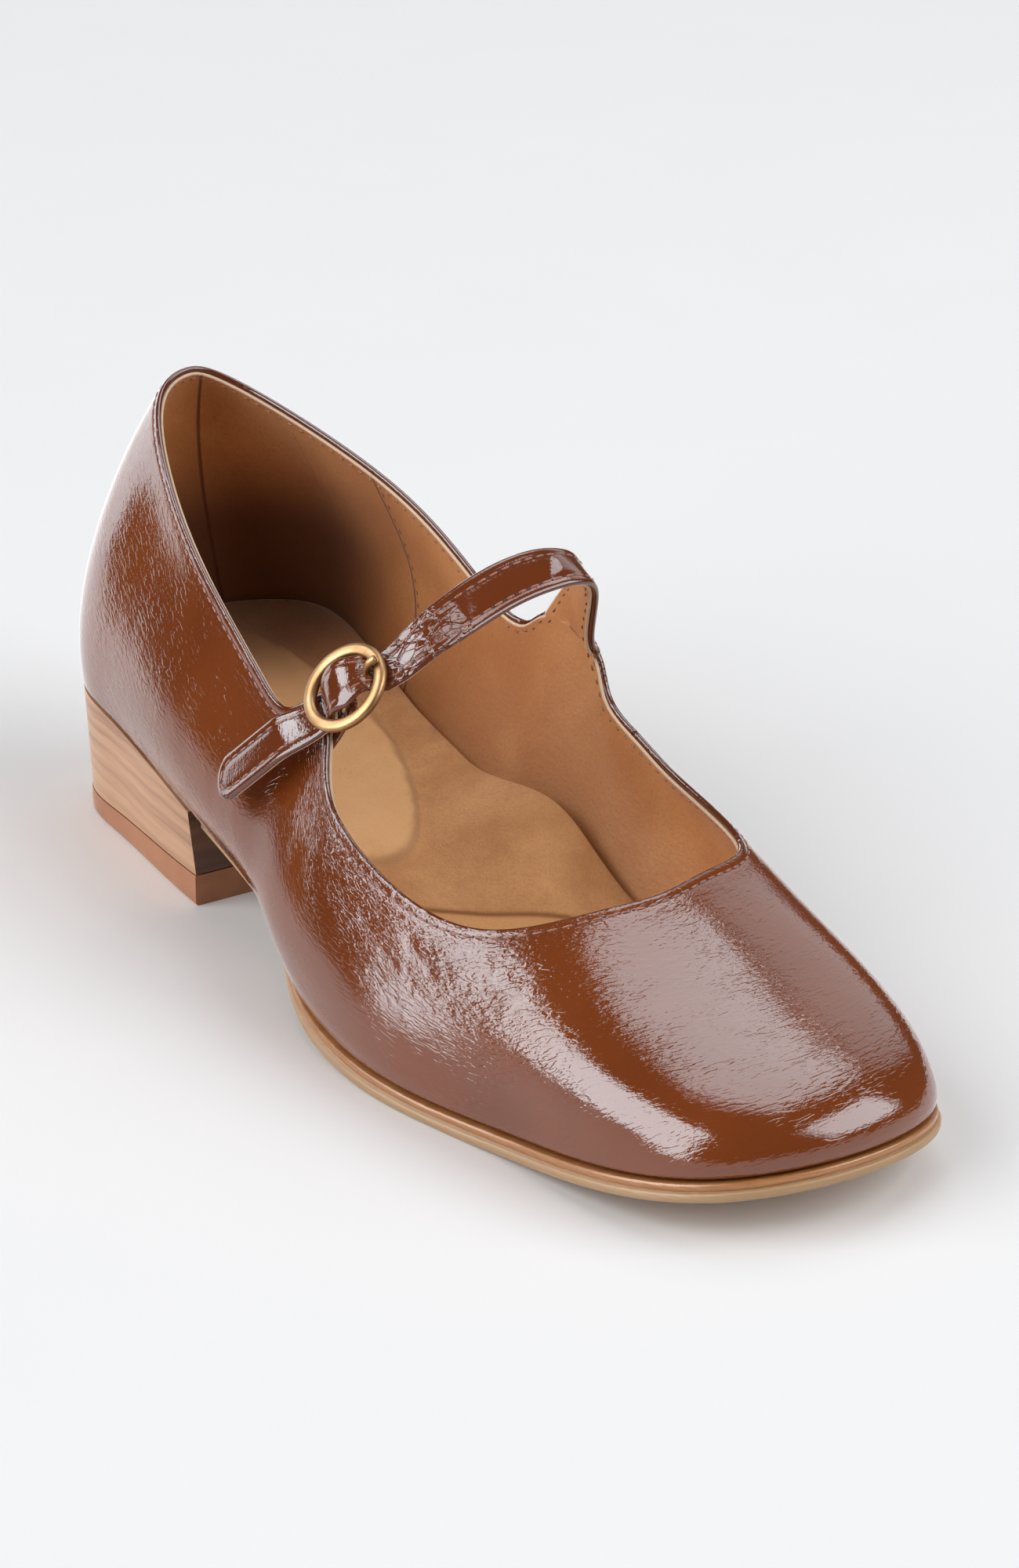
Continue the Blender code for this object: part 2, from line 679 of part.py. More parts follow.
def place_in_buckle(piece):
    """Sets a piece modelled with X along the strap, Y across it and Z out of its face."""
    centre, (direction, across, face) = buckle_frame()
    matrix = np.eye(4)
    matrix[:3, 0] = direction
    matrix[:3, 1] = np.cross(face, direction)
    matrix[:3, 2] = face
    matrix[:3, 3] = centre
    piece.matrix_world = Matrix(matrix.tolist())


def mesh_from_curve(name, points, radius, collection, made_of=None, sides=8):
    """A round rod along points, in mm, as a closed mesh."""
    curve = bpy.data.curves.new(name, "CURVE")
    curve.dimensions = "3D"
    curve.bevel_depth = radius * MM
    curve.bevel_resolution = sides // 4
    curve.use_fill_caps = True
    line = curve.splines.new("POLY")
    line.points.add(len(points) - 1)
    for point, place in zip(line.points, points):
        point.co = (*(np.asarray(place) * MM), 1)
    rod = bpy.data.objects.new(name, curve)
    collection.objects.link(rod)
    bpy.context.view_layer.update()
    mesh = bpy.data.meshes.new_from_object(rod.evaluated_get(bpy.context.evaluated_depsgraph_get()))
    bpy.data.objects.remove(rod)
    bpy.data.curves.remove(curve)
    bm = bmesh.new()
    bm.from_mesh(mesh)
    bpy.data.meshes.remove(mesh)
    bmesh.ops.remove_doubles(bm, verts=bm.verts, dist=0.001 * MM)
    return add_object(name, mesh_of(name, bm), collection, made_of)


def make_ring(collection, cutters, brass):
    """The buckle's ring, turned from an oval section, with its centre bar cast in one with it."""
    section = bmesh.new()
    points = []
    for angle in np.linspace(0, 2 * math.pi, RING_SIDES, endpoint=False):
        x = RING_RADIUS + RING_HALF_WIDTH * math.cos(angle)
        z = -RING_HALF_DEPTH * math.sin(angle)
        points.append(section.verts.new((x * MM, 0, z * MM)))
    for first, second in zip(points, points[1:] + points[:1]):
        section.edges.new((first, second))
    mesh = bpy.data.meshes.new("buckle_ring")
    section.to_mesh(mesh)
    section.free()
    ring = add_object("buckle_ring", mesh, collection, brass)
    turn = ring.modifiers.new("turn", "SCREW")
    turn.steps = RING_STEPS
    turn.render_steps = RING_STEPS
    turn.use_merge_vertices = True
    turn.merge_threshold = 0.01 * MM
    turn.use_normal_calculate = True
    end = RING_RADIUS
    shoulder = RING_RADIUS - BAR_SHOULDER
    bar_line = ((0, -end, 0), (0, -shoulder, -BAR_DROP), (0, shoulder, -BAR_DROP), (0, end, 0))
    bar = mesh_from_curve("bar_core", bar_line, BAR_RADIUS, cutters)
    bar.hide_render = True
    bar.display_type = "WIRE"
    place_in_buckle(bar)
    join = ring.modifiers.new("bar", "BOOLEAN")
    join.operation = "UNION"
    join.object = bar
    place_in_buckle(ring)
    return ring


def prong_line():
    """The prong's middle: round the bar, up through the strap's hole and on to the ring's rim."""
    hook = BAR_RADIUS + GAP + PRONG_RADIUS
    points = []
    for angle in np.radians(np.arange(-60, 91, 25)):
        points.append((hook * math.cos(angle), 0, -BAR_DROP + hook * math.sin(angle)))
    rim = RING_HALF_DEPTH + GAP + PRONG_RADIUS
    points += [(along, 0, out) for along, out in PRONG_ROWS]
    points.append((-(RING_RADIUS + PRONG_END), 0, rim))
    return points


def make_prong(collection, brass):
    prong = mesh_from_curve("buckle_prong", prong_line(), PRONG_RADIUS, collection, brass)
    place_in_buckle(prong)
    return prong


def cut_prong_hole(upper, cutters):
    """The hole in the strap that the prong comes through."""
    hole = mesh_from_curve("prong_hole", prong_line(), PRONG_RADIUS + GAP, cutters)
    hole.hide_render = True
    hole.display_type = "WIRE"
    place_in_buckle(hole)
    cut = upper.modifiers.new("prong hole", "BOOLEAN")
    cut.operation = "DIFFERENCE"
    cut.object = hole


def make_keeper(collection, cutters, patent):
    """The leather keeper that holds the buckle: looped round the bar, then down inside the upper."""
    inner = BAR_RADIUS + GAP
    mid = inner + KEEPER_THICKNESS / 2
    loop = [
        (mid * math.cos(a), -BAR_DROP + mid * math.sin(a))
        for a in np.radians(np.arange(-50, 271, 20))
    ]
    line = np.array(loop + list(KEEPER_ROWS))
    along = unit(np.gradient(line, axis=0))
    normal = np.stack([-along[:, 1], along[:, 0]], 1) * KEEPER_THICKNESS / 2
    bm = bmesh.new()
    sides = []
    for y in (-KEEPER_WIDTH / 2, KEEPER_WIDTH / 2):
        rails = []
        for face in (line + normal, line - normal):
            rails.append([bm.verts.new((x * MM, y * MM, z * MM)) for x, z in face])
        sides.append(rails)
    (near_out, near_in), (far_out, far_in) = sides
    loft(bm, [near_out, far_out, far_in, near_in, near_out], closed=False)
    for i in (0, len(line) - 1):
        bm.faces.new((near_out[i], far_out[i], far_in[i], near_in[i]))
    keeper = add_object("buckle_keeper", mesh_of("buckle_keeper", bm), collection, patent)
    place_in_buckle(keeper)
    slot_width = 2 * (PRONG_RADIUS + GAP)
    bm = bmesh.new()
    bmesh.ops.create_cube(bm, size=1)
    bmesh.ops.scale(bm, vec=(SLOT_LENGTH * MM, slot_width * MM, SLOT_LENGTH * MM), verts=bm.verts)
    bmesh.ops.translate(bm, vec=(-SLOT_OFFSET * MM, 0, -BAR_DROP * MM), verts=bm.verts)
    slot = add_object("keeper_slot", mesh_of("keeper_slot", bm), cutters)
    slot.hide_render = True
    slot.display_type = "WIRE"
    place_in_buckle(slot)
    cut = keeper.modifiers.new("slot", "BOOLEAN")
    cut.operation = "DIFFERENCE"
    cut.object = slot
    return keeper


def build():
    for old in list(bpy.data.objects):
        bpy.data.objects.remove(old)
    shoe = bpy.data.collections.new("mary_jane_right")
    cutters = bpy.data.collections.new("cutters")
    bpy.context.scene.collection.children.link(shoe)
    bpy.context.scene.collection.children.link(cutters)

    patent = material("patent_leather", (0.17, 0.045, 0.017), 0.18, coat=1.0)
    sole_leather = material("sole_leather", (0.45, 0.26, 0.12), 0.45)
    stacked = material("stacked_leather", (0.52, 0.28, 0.18), 0.45)
    rubber = material("lift_rubber", (0.38, 0.15, 0.06), 0.5)
    suede = material("insole_suede", (0.46, 0.23, 0.09), 0.85)
    brass = material("aged_brass", (0.62, 0.42, 0.17), 0.3, metallic=1.0)

    upper = make_upper(shoe, patent)
    make_outsole(shoe, sole_leather)
    make_heel_block(shoe, stacked)
    make_heel_lift(shoe, rubber)
    make_insole(shoe, suede)
    make_ring(shoe, cutters, brass)
    make_prong(shoe, brass)
    cut_prong_hole(upper, cutters)
    make_keeper(shoe, cutters, patent)


build()
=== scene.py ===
"""The looks of the right Mary Jane shoe, on a plain studio floor.

Its pieces are worked out from the shoe's own measures, in millimetres, as its maker takes them:
  station  distance along the foot from the back of the heel towards the toe
  side     distance from the foot's middle line, positive towards the inner (medial) side
  height   distance above the floor
The scene is in metres, +Z up, the toe towards -Y and the inner side towards +X.
"""

import math
from collections import namedtuple

import bmesh
import bpy
import numpy as np
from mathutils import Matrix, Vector
from mathutils.bvhtree import BVHTree
from mathutils.kdtree import KDTree


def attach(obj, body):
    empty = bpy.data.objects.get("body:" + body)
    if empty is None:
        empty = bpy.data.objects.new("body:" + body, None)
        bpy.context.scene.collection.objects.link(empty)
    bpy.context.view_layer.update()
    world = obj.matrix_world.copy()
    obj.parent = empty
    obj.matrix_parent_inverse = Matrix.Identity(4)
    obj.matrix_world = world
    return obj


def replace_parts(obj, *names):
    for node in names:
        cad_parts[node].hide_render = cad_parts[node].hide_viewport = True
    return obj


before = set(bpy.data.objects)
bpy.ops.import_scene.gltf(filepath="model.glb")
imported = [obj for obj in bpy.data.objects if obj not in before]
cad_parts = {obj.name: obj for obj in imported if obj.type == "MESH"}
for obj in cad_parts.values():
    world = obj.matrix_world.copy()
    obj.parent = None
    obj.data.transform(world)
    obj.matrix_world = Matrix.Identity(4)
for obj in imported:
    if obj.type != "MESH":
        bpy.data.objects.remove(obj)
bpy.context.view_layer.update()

MM = 0.001
GAP = 0.3  # clearance between two pieces that touch

# ---- driving sizes, mm
SHOE_LENGTH = 252.0  # along the feather edge, from the back of the heel to the toe
BALL_WIDTH = 86.0
COLLAR_HEIGHT = 93.5
HEEL_HEIGHT = 30.0  # seat of the foot at the back of the heel
UPPER_WALL = 2.0
SOLE_THICKNESS = 3.8
INSOLE_THICKNESS = 3.0
INSOLE_BED_GAP = 0.4
BREAST_STATION = 79.0  # front face of the heel, at the top
BREAST_SLOPE = 0.8
LIFT_AT_BACK = 3.5  # the rubber top lift is a wedge
LIFT_AT_BREAST = 6.8
ORIGIN_STATION = 133.49  # the scene's origin lies here
ORIGIN_SIDE = -0.96
HEEL_DRAW_IN = 1.4  # at its foot the heel block lies this far in from the feather edge,
HEEL_TOP_DRAW_IN = 0.3  # and at its top this far
LIFT_DRAW_IN = 1.2
LIFT_EDGE_ROWS = ((0.6, 0), (0.25, 0.03), (0.08, 0.07), (0, 0.13), (0, 0.93), (0.12, 1))  # inset, up
STACK_LAYER = 3.2  # the heel's layers look about this thick,
BREAST_LAYER = 4.5  # and this thick on its front face

# ---- colours, as linear red, green and blue. Two or three together run from dark to light.
BROWN = (0.20, 0.047, 0.010)  # the patent leather
BROWN_DEEP = (0.165, 0.037, 0.008)
BROWN_STRAP = (0.15, 0.034, 0.009)
BROWN_FOLD = (0.115, 0.027, 0.009)
BROWN_SHADOW = (0.04, 0.011, 0.005)
TAN = ((0.48, 0.187, 0.05), (0.62, 0.28, 0.09))  # the lining
TAN_SPECK = (0.28, 0.11, 0.035)
# painted shade, for the depth of the heel
TAN_PAINTED_SHADE = (0.13, 0.045, 0.014)
TAN_SEAM = (0.10, 0.03, 0.012)
RAW_EDGE = (0.66, 0.47, 0.32)
SUEDE = ((0.56, 0.265, 0.097), (0.745, 0.388, 0.16))
SUEDE_NAP = (0.34, 0.145, 0.05)
SUEDE_STEP_DARK = (0.16, 0.06, 0.02)
# painted shade in the insole's heel
SUEDE_PAINTED_SHADE = (0.10, 0.042, 0.015)
PAD = ((0.73, 0.405, 0.18), (0.80, 0.475, 0.225))  # the smooth heel pad
PAD_FLECK = (0.30, 0.13, 0.05)
BOARD = (0.66, 0.34, 0.14)  # in front of the sock
BOARD_FLECK = (0.44, 0.2, 0.075)
WELT = ((0.36, 0.145, 0.045), (0.44, 0.195, 0.065))
SOLE_EDGE = ((0.36, 0.21, 0.10), (0.41, 0.25, 0.125))
SOLE_EDGE_PATCH = (0.38, 0.22, 0.11)
TREAD = ((0.36, 0.21, 0.11), (0.47, 0.30, 0.165))
TREAD_SCUFF = (0.24, 0.135, 0.07)
STACK = ((0.32, 0.15, 0.072), (0.475, 0.25, 0.132), (0.55, 0.305, 0.17))  # the heel's layers
BREAST_PAINTED_SHADE = ((0.06, 0.025, 0.013), (0.105, 0.045, 0.022), (0.16, 0.07, 0.035))  # on its front face: the same layers, painted darker as shade
RUBBER = ((0.30, 0.105, 0.035), (0.40, 0.155, 0.06))
RUBBER_SPECK = (0.20, 0.07, 0.025)
BRASS = ((0.30, 0.158, 0.07), (0.385, 0.216, 0.105))
THREAD = ((0.15, 0.042, 0.022), (0.34, 0.115, 0.06))
# painted shade in the needle holes
NEEDLE_HOLE_SHADE = ((0.02, 0.006, 0.004), (0.045, 0.013, 0.007))
PAPER = ((0.87, 0.875, 0.885), (0.89, 0.895, 0.905))

# ---- the upper's layers and edges
LEATHER = 1.25  # the outer leather, which is folded over at its edges
LEATHER_EDGE = 0.7  # radius of that fold
LINING = UPPER_WALL - LEATHER
LINING_DROP = 0.75  # the lining's raw edge lies this far below the fold
STITCH_INSET = 2.1  # from an edge to its line of stitches
STITCH_PITCH = 2.9
STITCH_LENGTH = 2.0
THREAD_WIDTH = 0.55
LINING_STITCH = (1.15, 0.42)  # length and width: these lie deeper in the soft lining
LINING_THREAD_DEPTH = UPPER_WALL - 0.02  # their middles, below the leather's face
NEEDLE_HOLE = (0.7, 0.5, 0.28)  # length, width and depth
STITCH_GROOVE = (0.12, 0.55)  # depth and half width of the groove that the stitching presses
EDGE_SWELL = (0.05, 0.6)  # height and half width of the swelling between it and the edge
COLUMN = 1.3  # width of a strip of the wall
ROOT_LANES = 20  # strips across the strap
EDGE_STEPS = (0, 0.12, 0.3, 0.55, 0.85, 1.2, 1.6, 2.0, 2.4, 2.85, 3.4, 4.2, 5.2)  # rows below an edge
WALL_ROWS = 40  # rows from there to the feather edge
STRAP_STEP = 0.8  # length of a strip of the strap
LINING_GRID = {"column": 2.2, "wall_rows": 24, "strap_step": 1.6}  # the lining is coarser
SOLE_STEPS = 260  # vertices along the edge of the outsole, the heel and the insole
HEEL_STEPS = 150
INSOLE_STEPS = 300
HEEL_BANDS = 8  # bands of faces up the heel block
SEARCH_STEPS = 2000  # round the shoe, to find the ends of the breast line
SOLE_CUTS = np.arange(82, 258, 3)  # stations at which a slab's ends are divided
HEEL_CUTS = np.arange(10, BREAST_STATION - 1, 4)
INSOLE_CUTS = (np.arange(6, 254, 2), np.arange(-38, 42, 2))  # stations and sides
RING_STEPS = 144  # round the ring
SECTION_STEPS = 24  # round the ring's section
BAR_STEPS = 40  # along the bar, the prong and the keeper
PRONG_STEPS = 60
KEEPER_STEPS = 90
EDGE_SPACING = 0.6  # of the points on the free edge that a row of stitches is measured from
CUT_MERGE = 0.05  # a slab's cut this near a vertex goes through it
EDGE_FAR = 30.0  # the materials ask no further from an edge than this
SEAM_FAR = 20.0  # nor from a seam

# ---- buckle, mm
RING_RADIUS = 8.3
RING_HALF_WIDTH = 1.35
RING_HALF_DEPTH = 1.05
BAR_RADIUS = 0.7
BAR_DROP = 1.2
BAR_SHOULDER = 2.6
KEEPER_WIDTH = 8.0
KEEPER_THICKNESS = 0.7
KEEPER_EDGE = 0.35  # radius of its edges
KEEPER_CRINKLE = 0.3
KEEPER_LANES = (0.45, 0.65, 0.85, 0.95, 1)  # beside the slot, as shares of its half width
KEEPER_LOOP = range(-50, 271, 8)  # degrees round the bar
SLOT_LENGTH = 9.0  # the slot in the keeper's loop, which the prong swings in
SLOT_OFFSET = 0.6  # its middle lies this far from the bar, towards the prong's side
PRONG_RADIUS = 0.8
PRONG_END = 0.6
PRONG_HOOK = range(-60, 91, 15)  # degrees round the bar

# ---- the strap, mm. Inside the ring it swells a little more than its solid does.
STRAP_ARCH_RUN = 7.3  # half the length of its arch over the bar
STRAP_ARCH_RISE = 4.4
STRAP_ARCH_CROWN = 0.86  # the round top's share of the arch, whose hollow feet take the rest
STRAP_ARCH_SHIFT = 0.5  # its top lies this far before the bar
STRAP_CROWNING = 0.08  # there the edges lie lower than the middle by this share of the rise
STRAP_BULGE = 1.5  # it is wider by this at each side,
STRAP_BULGE_REACH = 4.8
STRAP_BULGE_DROP = 1.1  # and its edges turn down by this
STRAP_DIP = 1.45  # within the ring it lies this much lower,
STRAP_DIP_FADE = 10.0  # which fades over this distance outside
STRAP_TILT = 1.1  # the rear edge of its free end stands off by this
STRAP_FREE = (13.0, 20.0)  # past the bar: where that starts and where it is full
STRAP_BLEND = 13.0  # the strap takes on its own shape over this much of its length
STRAP_END_RUN = 1.2  # the rounding of its end starts this many end radii before the end

# ---- the rows that the shapes are drawn through

# The seat of the foot, which is the top of the sole and heel.
SEAT_HEADINGS = ("station", "height")
SEAT_ROWS = (
    (-5, HEEL_HEIGHT + 0.6),
    (30, 28.0),
    (60, 24.8),
    (90, 19.0),
    (120, 10.6),
    (145, 5.4),
    (170, 3.8),
    (195, 3.8),
    (215, 5.6),
    (235, 9.0),
    (262, 14.6),
)

# One row for each line that runs up the upper from the feather edge to the topline, round by the
# outer side to the toe and back by the inner side. A line is one cubic curve: it leaves the edge
# foot_reach upwards and foot_bulge outwards, and comes to the topline in the same way.
UPPER_HEADINGS = (
    "edge_station", "edge_side", "top_station", "top_side", "top_height",
    "foot_reach", "foot_bulge", "top_reach", "top_bulge", "name",
)
UPPER_ROWS = (
    (7, -1, 17, 0, 93.5, 29, 2, 16, 10, "heel back"),
    (14, -23, 21, -8, 91.5, 27, 2, 13, 9, "heel corner, outer"),
    (40, -33, 48, -21, 80, 23, 5, 17, 4, "heel side, outer"),
    (80, -35.5, 81, -27, 66, 18, 8, 14, 4, "waist, outer"),
    (103, -35.5, 102, -29.5, 58, 16, 9, 14, 3, "behind buckle tab"),
    (111, -36.2, 112, -29.5, 56, 16, 9, 14, 3, "buckle tab, rear foot"),
    (116, -37.2, 117, -28, 59, 16, 9, 14, 3, "buckle tab, rear top"),
    (125, -39.6, 125, -28.4, 58.5, 16, 9, 14, 3, "buckle tab, front top"),
    (132, -41.3, 129, -30.8, 53, 16, 8, 14, 3, "buckle tab, front foot"),
    (162, -44.2, 142, -33.8, 42.2, 14, 6, 10, 5, "ball, outer"),
    (208, -35, 180, -29.5, 36.5, 12, 3.5, 8, 10, "throat corner, outer"),
    (250.5, -20.5, 196, -11, 41.5, 12, 2, 14, 27, "toe corner, outer"),
    (259, 5, 197.5, 2.3, 42.3, 14, 3, 16, 33, "toe"),
    (249, 29.5, 193, 15.5, 41.8, 12, 2.5, 14, 27, "toe corner, inner"),
    (213, 38.4, 183, 31, 40, 12, 3.5, 8, 10, "throat corner, inner"),
    (176, 41.6, 151, 37, 41.4, 14, 5, 10, 4, "ball, inner"),
    (150, 33.3, 136.5, 37.3, 45, 15, 6, 13, 1, "instep, inner"),
    (139, 28.8, 127, 37.3, 49.6, 17, 6, 14, 0, "in front of strap"),
    (131, 26.3, 123.2, 37.3, 56.9, 18, 7, 15, 0, "strap root, front"),
    (117, 22.6, 108.8, 34.4, 62.0, 20, 8, 16, 1, "strap root, rear"),
    (107, 22, 102.4, 33.4, 57.9, 20, 9, 16, 2, "behind strap"),
    (84, 23.5, 86, 30.5, 63.3, 20, 10, 16, 3, "waist, inner"),
    (37, 31.6, 45, 22.7, 80, 24, 6.4, 16, 7, "heel side, inner"),
    (14, 20.8, 19, 7, 91.8, 27, 3, 14, 10, "heel corner, inner"),
)
STRAP_FIRST_ROW = 18  # the strap grows out of the topline between this row and the next
FEATHER_ROUNDING = 1.6  # radius of the feather edge, where the wall turns in under the foot
FEATHER_TURNS = (22, 45, 68, 90)  # degrees round it, one row of points each
MARGIN_WIDTH = 9.0  # of the leather that is turned in under the foot

STRAP_HEADINGS = ("station", "side", "height", "width", "roll", "name")
STRAP_ROWS = (
    (115.4, 36.4, 61.0, 19.6, -14, "root"),
    (124.5, 33.4, 71.6, 10.8, -17, "rise"),
    (131.2, 27.0, 80.8, 10.2, -19, "crest"),
    (133.8, 13.4, 83.0, 10.2, -36, "over"),
    (134.8, -1.6, 79.4, 10.2, -33, "middle"),
    (135.2, -15.7, 73.8, 10.2, -12, "fall"),
    (130.1, -26.5, 66.2, 9.4, -7, "buckle"),
    (121.4, -35.5, 55.3, 10.2, 7, "free part"),
    (106.3, -42.5, 39.7, 10.2, 16, "tip"),
)
STRAP_BUCKLE_ROW = 6

PRONG_ROWS = (  # along, out
    (-3.0, -0.2),
    (-5.0, 0.1),
    (-6.2, 1.1),
    (-7.5, 2.0),
)
KEEPER_ROWS = (  # along, out, from the loop's end down inside the upper
    (2.4, -4.2),
    (4.6, -6.2),
    (7.4, -7.75),
    (10.0, -8.95),
    (12.5, -10.15),
    (16.5, -11.8),
    (20.0, -13.15),
)

# The edge of the outsole: how far out of the feather edge, what share of the way down, and what
# the stretch below it is made of.
SOLE_EDGE_ROWS = (  # out, down, stretch
    (0.2, 0, "welt"),
    (0.8, 0.01, "welt"),
    (1.0, 0.05, "welt"),
    (1.1, 0.12, "welt"),
    (1.13, 0.22, "welt"),
    (1.1, 0.34, "welt"),
    (0.95, 0.4, "welt"),
    (0.85, 0.43, "edge"),
    (0.95, 0.46, "edge"),
    (1.4, 0.485, "edge"),
    (1.6, 0.53, "edge"),
    (1.72, 0.6, "edge"),
    (1.72, 0.84, "edge"),
    (1.6, 0.94, "edge"),
    (1.2, 1, "tread"),
)
SOLE_TUCK = 3.0  # in the waist the sole's edge lies this far in from the feather edge
SOLE_TUCK_STATION = 105.0  # there it starts to come out
SOLE_FULL_STATION = 150.0  # from there on the whole edge shows

# ---- the insole
INSOLE_EDGE_ROWS = (  # inset, up
    (3.6, 0),
    (3.35, 0.25),
    (3.3, 0.5),
    (3.38, 0.75),
    (3.6, 0.92),
    (4.0, 1),
)
RELIEF_ROWS = (  # rise, station, reach, side, side_reach, name
    (6.0, 98, 55, 27, 31, "arch"),
    (10.5, 127, 29, 27, 28, "peak of the arch"),
    (1.6, 30, 60, 27, 27, "heel rim, inner"),
    (1.6, 30, 60, -27, 27, "heel rim, outer"),
    (1.8, 128, 34, 2, 34, "ball pad"),
)
ARCH_STATION = 120.0  # the arch leans out against the lining, most of all here
ARCH_REACH = 48.0
ARCH_FLARE = 3.4
HEEL_PAD_STATION = 62.0  # the middle of the oval heel pad
HEEL_PAD_SIDE = -8.0
HEEL_PAD_LENGTH = 109.0
HEEL_PAD_WIDTH = 41.5
HEEL_PAD_RISE = 0.8
HEEL_PAD_EDGE = (0.93, 1.04)  # its soft edge, as shares of its size
SOCK_END_STATION = 137.5  # where the suede ends on the foot's middle line
SOCK_END_SLANT = 0.62  # it ends further forward on the inner side, as the ball of the foot does
SOCK_END_SOFT = 0.7  # half the width of that end's slope
SOCK_END_STEPS = (-1.2, -0.7, -0.35, 0.0, 0.35, 0.7, 1.2)  # cuts on both sides of its line
SOCK_RISE = 0.9
HEEL_SHADE = (30.0, 66.0)  # between these stations the suede is painted darker towards the heel, as shade
HEEL_SHADE_MOST = 0.8


# ---- curves

def table(headings, rows):
    """The table's columns of numbers, by name."""
    columns = zip(*rows)
    return {
        heading: np.array(column, float)
        for heading, column in zip(headings, columns)
        if heading != "name"
    }


def spline_slopes(knots, values, closed):
    """Slopes of the smooth cubic spline through values at knots. A closed one repeats its first value."""
    count = len(knots)
    rows = np.zeros((count, count))
    target = np.zeros_like(values)
    for i in range(count - 1):
        step = knots[i + 1] - knots[i]
        rise = 3 * (values[i + 1] - values[i]) / step ** 2
        for here, there in ((i, i + 1), (i + 1, i)):
            rows[here, here] += 2 / step
            rows[here, there] += 1 / step
            target[here] += rise
    if closed:  # the last knot is the first one again
        rows[0] += rows[-1]
        target[0] += target[-1]
        rows[-1] = 0
        rows[-1, 0] = 1
        rows[-1, -1] = -1
        target[-1] = 0
    return np.linalg.solve(rows, target)


def spline(knots, values, where, closed=False):
    """The spline's points at where, one row for each."""
    knots = np.asarray(knots, float)
    values = np.asarray(values, float)
    where = np.asarray(where, float)
    if closed:
        where = np.mod(where, knots[-1])
    slopes = spline_slopes(knots, values, closed)
    i = np.clip(np.searchsorted(knots, where, side="right") - 1, 0, len(knots) - 2)
    shape = where.shape + (1,) * (values.ndim - 1)
    step = (knots[i + 1] - knots[i]).reshape(shape)
    t = (where - knots[i]).reshape(shape) / step
    return (
        values[i] * (1 + 2 * t) * (1 - t) ** 2
        + values[i + 1] * t * t * (3 - 2 * t)
        + step * slopes[i] * t * (1 - t) ** 2
        - step * slopes[i + 1] * t * t * (1 - t)
    )


def unit(vectors):
    """The vectors, each made one long."""
    return vectors / np.maximum(np.linalg.norm(vectors, axis=-1, keepdims=True), 1e-12)


def arc_length(points):
    """Distance along the points from the first one."""
    return np.concatenate([[0], np.cumsum(np.linalg.norm(np.diff(points, axis=0), axis=1))])


def smooth_bump(distance, reach):
    """1 at no distance, falling softly to 0 at reach."""
    t = np.clip(1 - np.abs(distance) / reach, 0, 1)
    return t * t * (3 - 2 * t)


def smooth_step(value, low, high):
    """0 up to low, 1 from high on and a soft change between."""
    t = np.clip((value - low) / (high - low), 0, 1)
    return t * t * (3 - 2 * t)


SEAT = table(SEAT_HEADINGS, SEAT_ROWS)
UPPER = table(UPPER_HEADINGS, UPPER_ROWS)
STRAP = table(STRAP_HEADINGS, STRAP_ROWS)

LENGTH_SCALE = SHOE_LENGTH / np.ptp(UPPER["edge_station"])
WIDTH_SCALE = BALL_WIDTH / np.ptp(UPPER["edge_side"])
COLLAR_SCALE = COLLAR_HEIGHT / UPPER["top_height"].max()
for heading in ("edge_station", "top_station"):
    UPPER[heading] = UPPER[heading].min() + (UPPER[heading] - UPPER[heading].min()) * LENGTH_SCALE
for heading in ("edge_side", "top_side"):
    UPPER[heading] = UPPER[heading] * WIDTH_SCALE
UPPER["top_height"] = UPPER["top_height"] * COLLAR_SCALE
UPPER_COLUMNS = [heading for heading in UPPER_HEADINGS if heading != "name"]


def seat_height(station):
    """Height of the top of the sole and heel, which the upper stands on."""
    return spline(SEAT["station"], SEAT["height"], station)


# ---- the upper's own surface

def edge_and_top(line):
    """The feather edge as points (station, side), and the topline as (station, side, height)."""
    edge = np.stack([line["edge_station"], line["edge_side"]], 1)
    return edge, np.stack([line["top_station"], line["top_side"], line["top_height"]], 1)


def upper_rounds():
    """The distance round the shoe of each row, the mean of the way along its edge and its topline."""
    along_edge, along_top = [arc_length(np.vstack([line, line[:1]])) for line in edge_and_top(UPPER)]
    return (along_edge + along_top) / 2


ROUNDS = upper_rounds()
WHOLE_ROUND = ROUNDS[-1]


def upper_lines(places):
    """Each column of the upper's table, smoothly between its rows, at these places round the shoe."""
    values = np.stack([UPPER[heading] for heading in UPPER_COLUMNS], 1)
    values = np.vstack([values, values[:1]])
    found = spline(ROUNDS, values, places, closed=True)
    return dict(zip(UPPER_COLUMNS, found.T))


def edge_outwards(places):
    """The level direction, (station, side), that points away from the foot at the feather edge."""
    step = 0.5
    ahead, _ = edge_and_top(upper_lines(places + step))
    behind, _ = edge_and_top(upper_lines(places - step))
    along = unit(ahead - behind)
    return np.stack([along[:, 1], -along[:, 0]], 1)


def outline_at(places, outset):
    """The feather edge, moved outwards by outset, as points (station, side)."""
    edge, _ = edge_and_top(upper_lines(places))
    return edge + edge_outwards(places) * np.asarray(outset, float).reshape(-1, 1)


def wall_curves(places, samples=120):
    """The wall from the topline down to the feather edge, one row of (station, side, height) a place."""
    line = upper_lines(places)
    edge, top = edge_and_top(line)
    foot = np.column_stack([edge, seat_height(edge[:, 0]) + GAP + FEATHER_ROUNDING])
    out = np.column_stack([edge_outwards(places), np.zeros(len(places))])
    up = np.array([0.0, 0.0, 1.0])
    leave = foot + up * line["foot_reach"][:, None] + out * line["foot_bulge"][:, None]
    reach = top - up * line["top_reach"][:, None] + out * line["top_bulge"][:, None]
    t = np.linspace(1, 0, samples)[None, :, None]
    foot, leave, reach, top = (corner[:, None] for corner in (foot, leave, reach, top))
    return (1 - t) ** 3 * foot + 3 * (1 - t) ** 2 * t * leave + 3 * (1 - t) * t * t * reach + t ** 3 * top


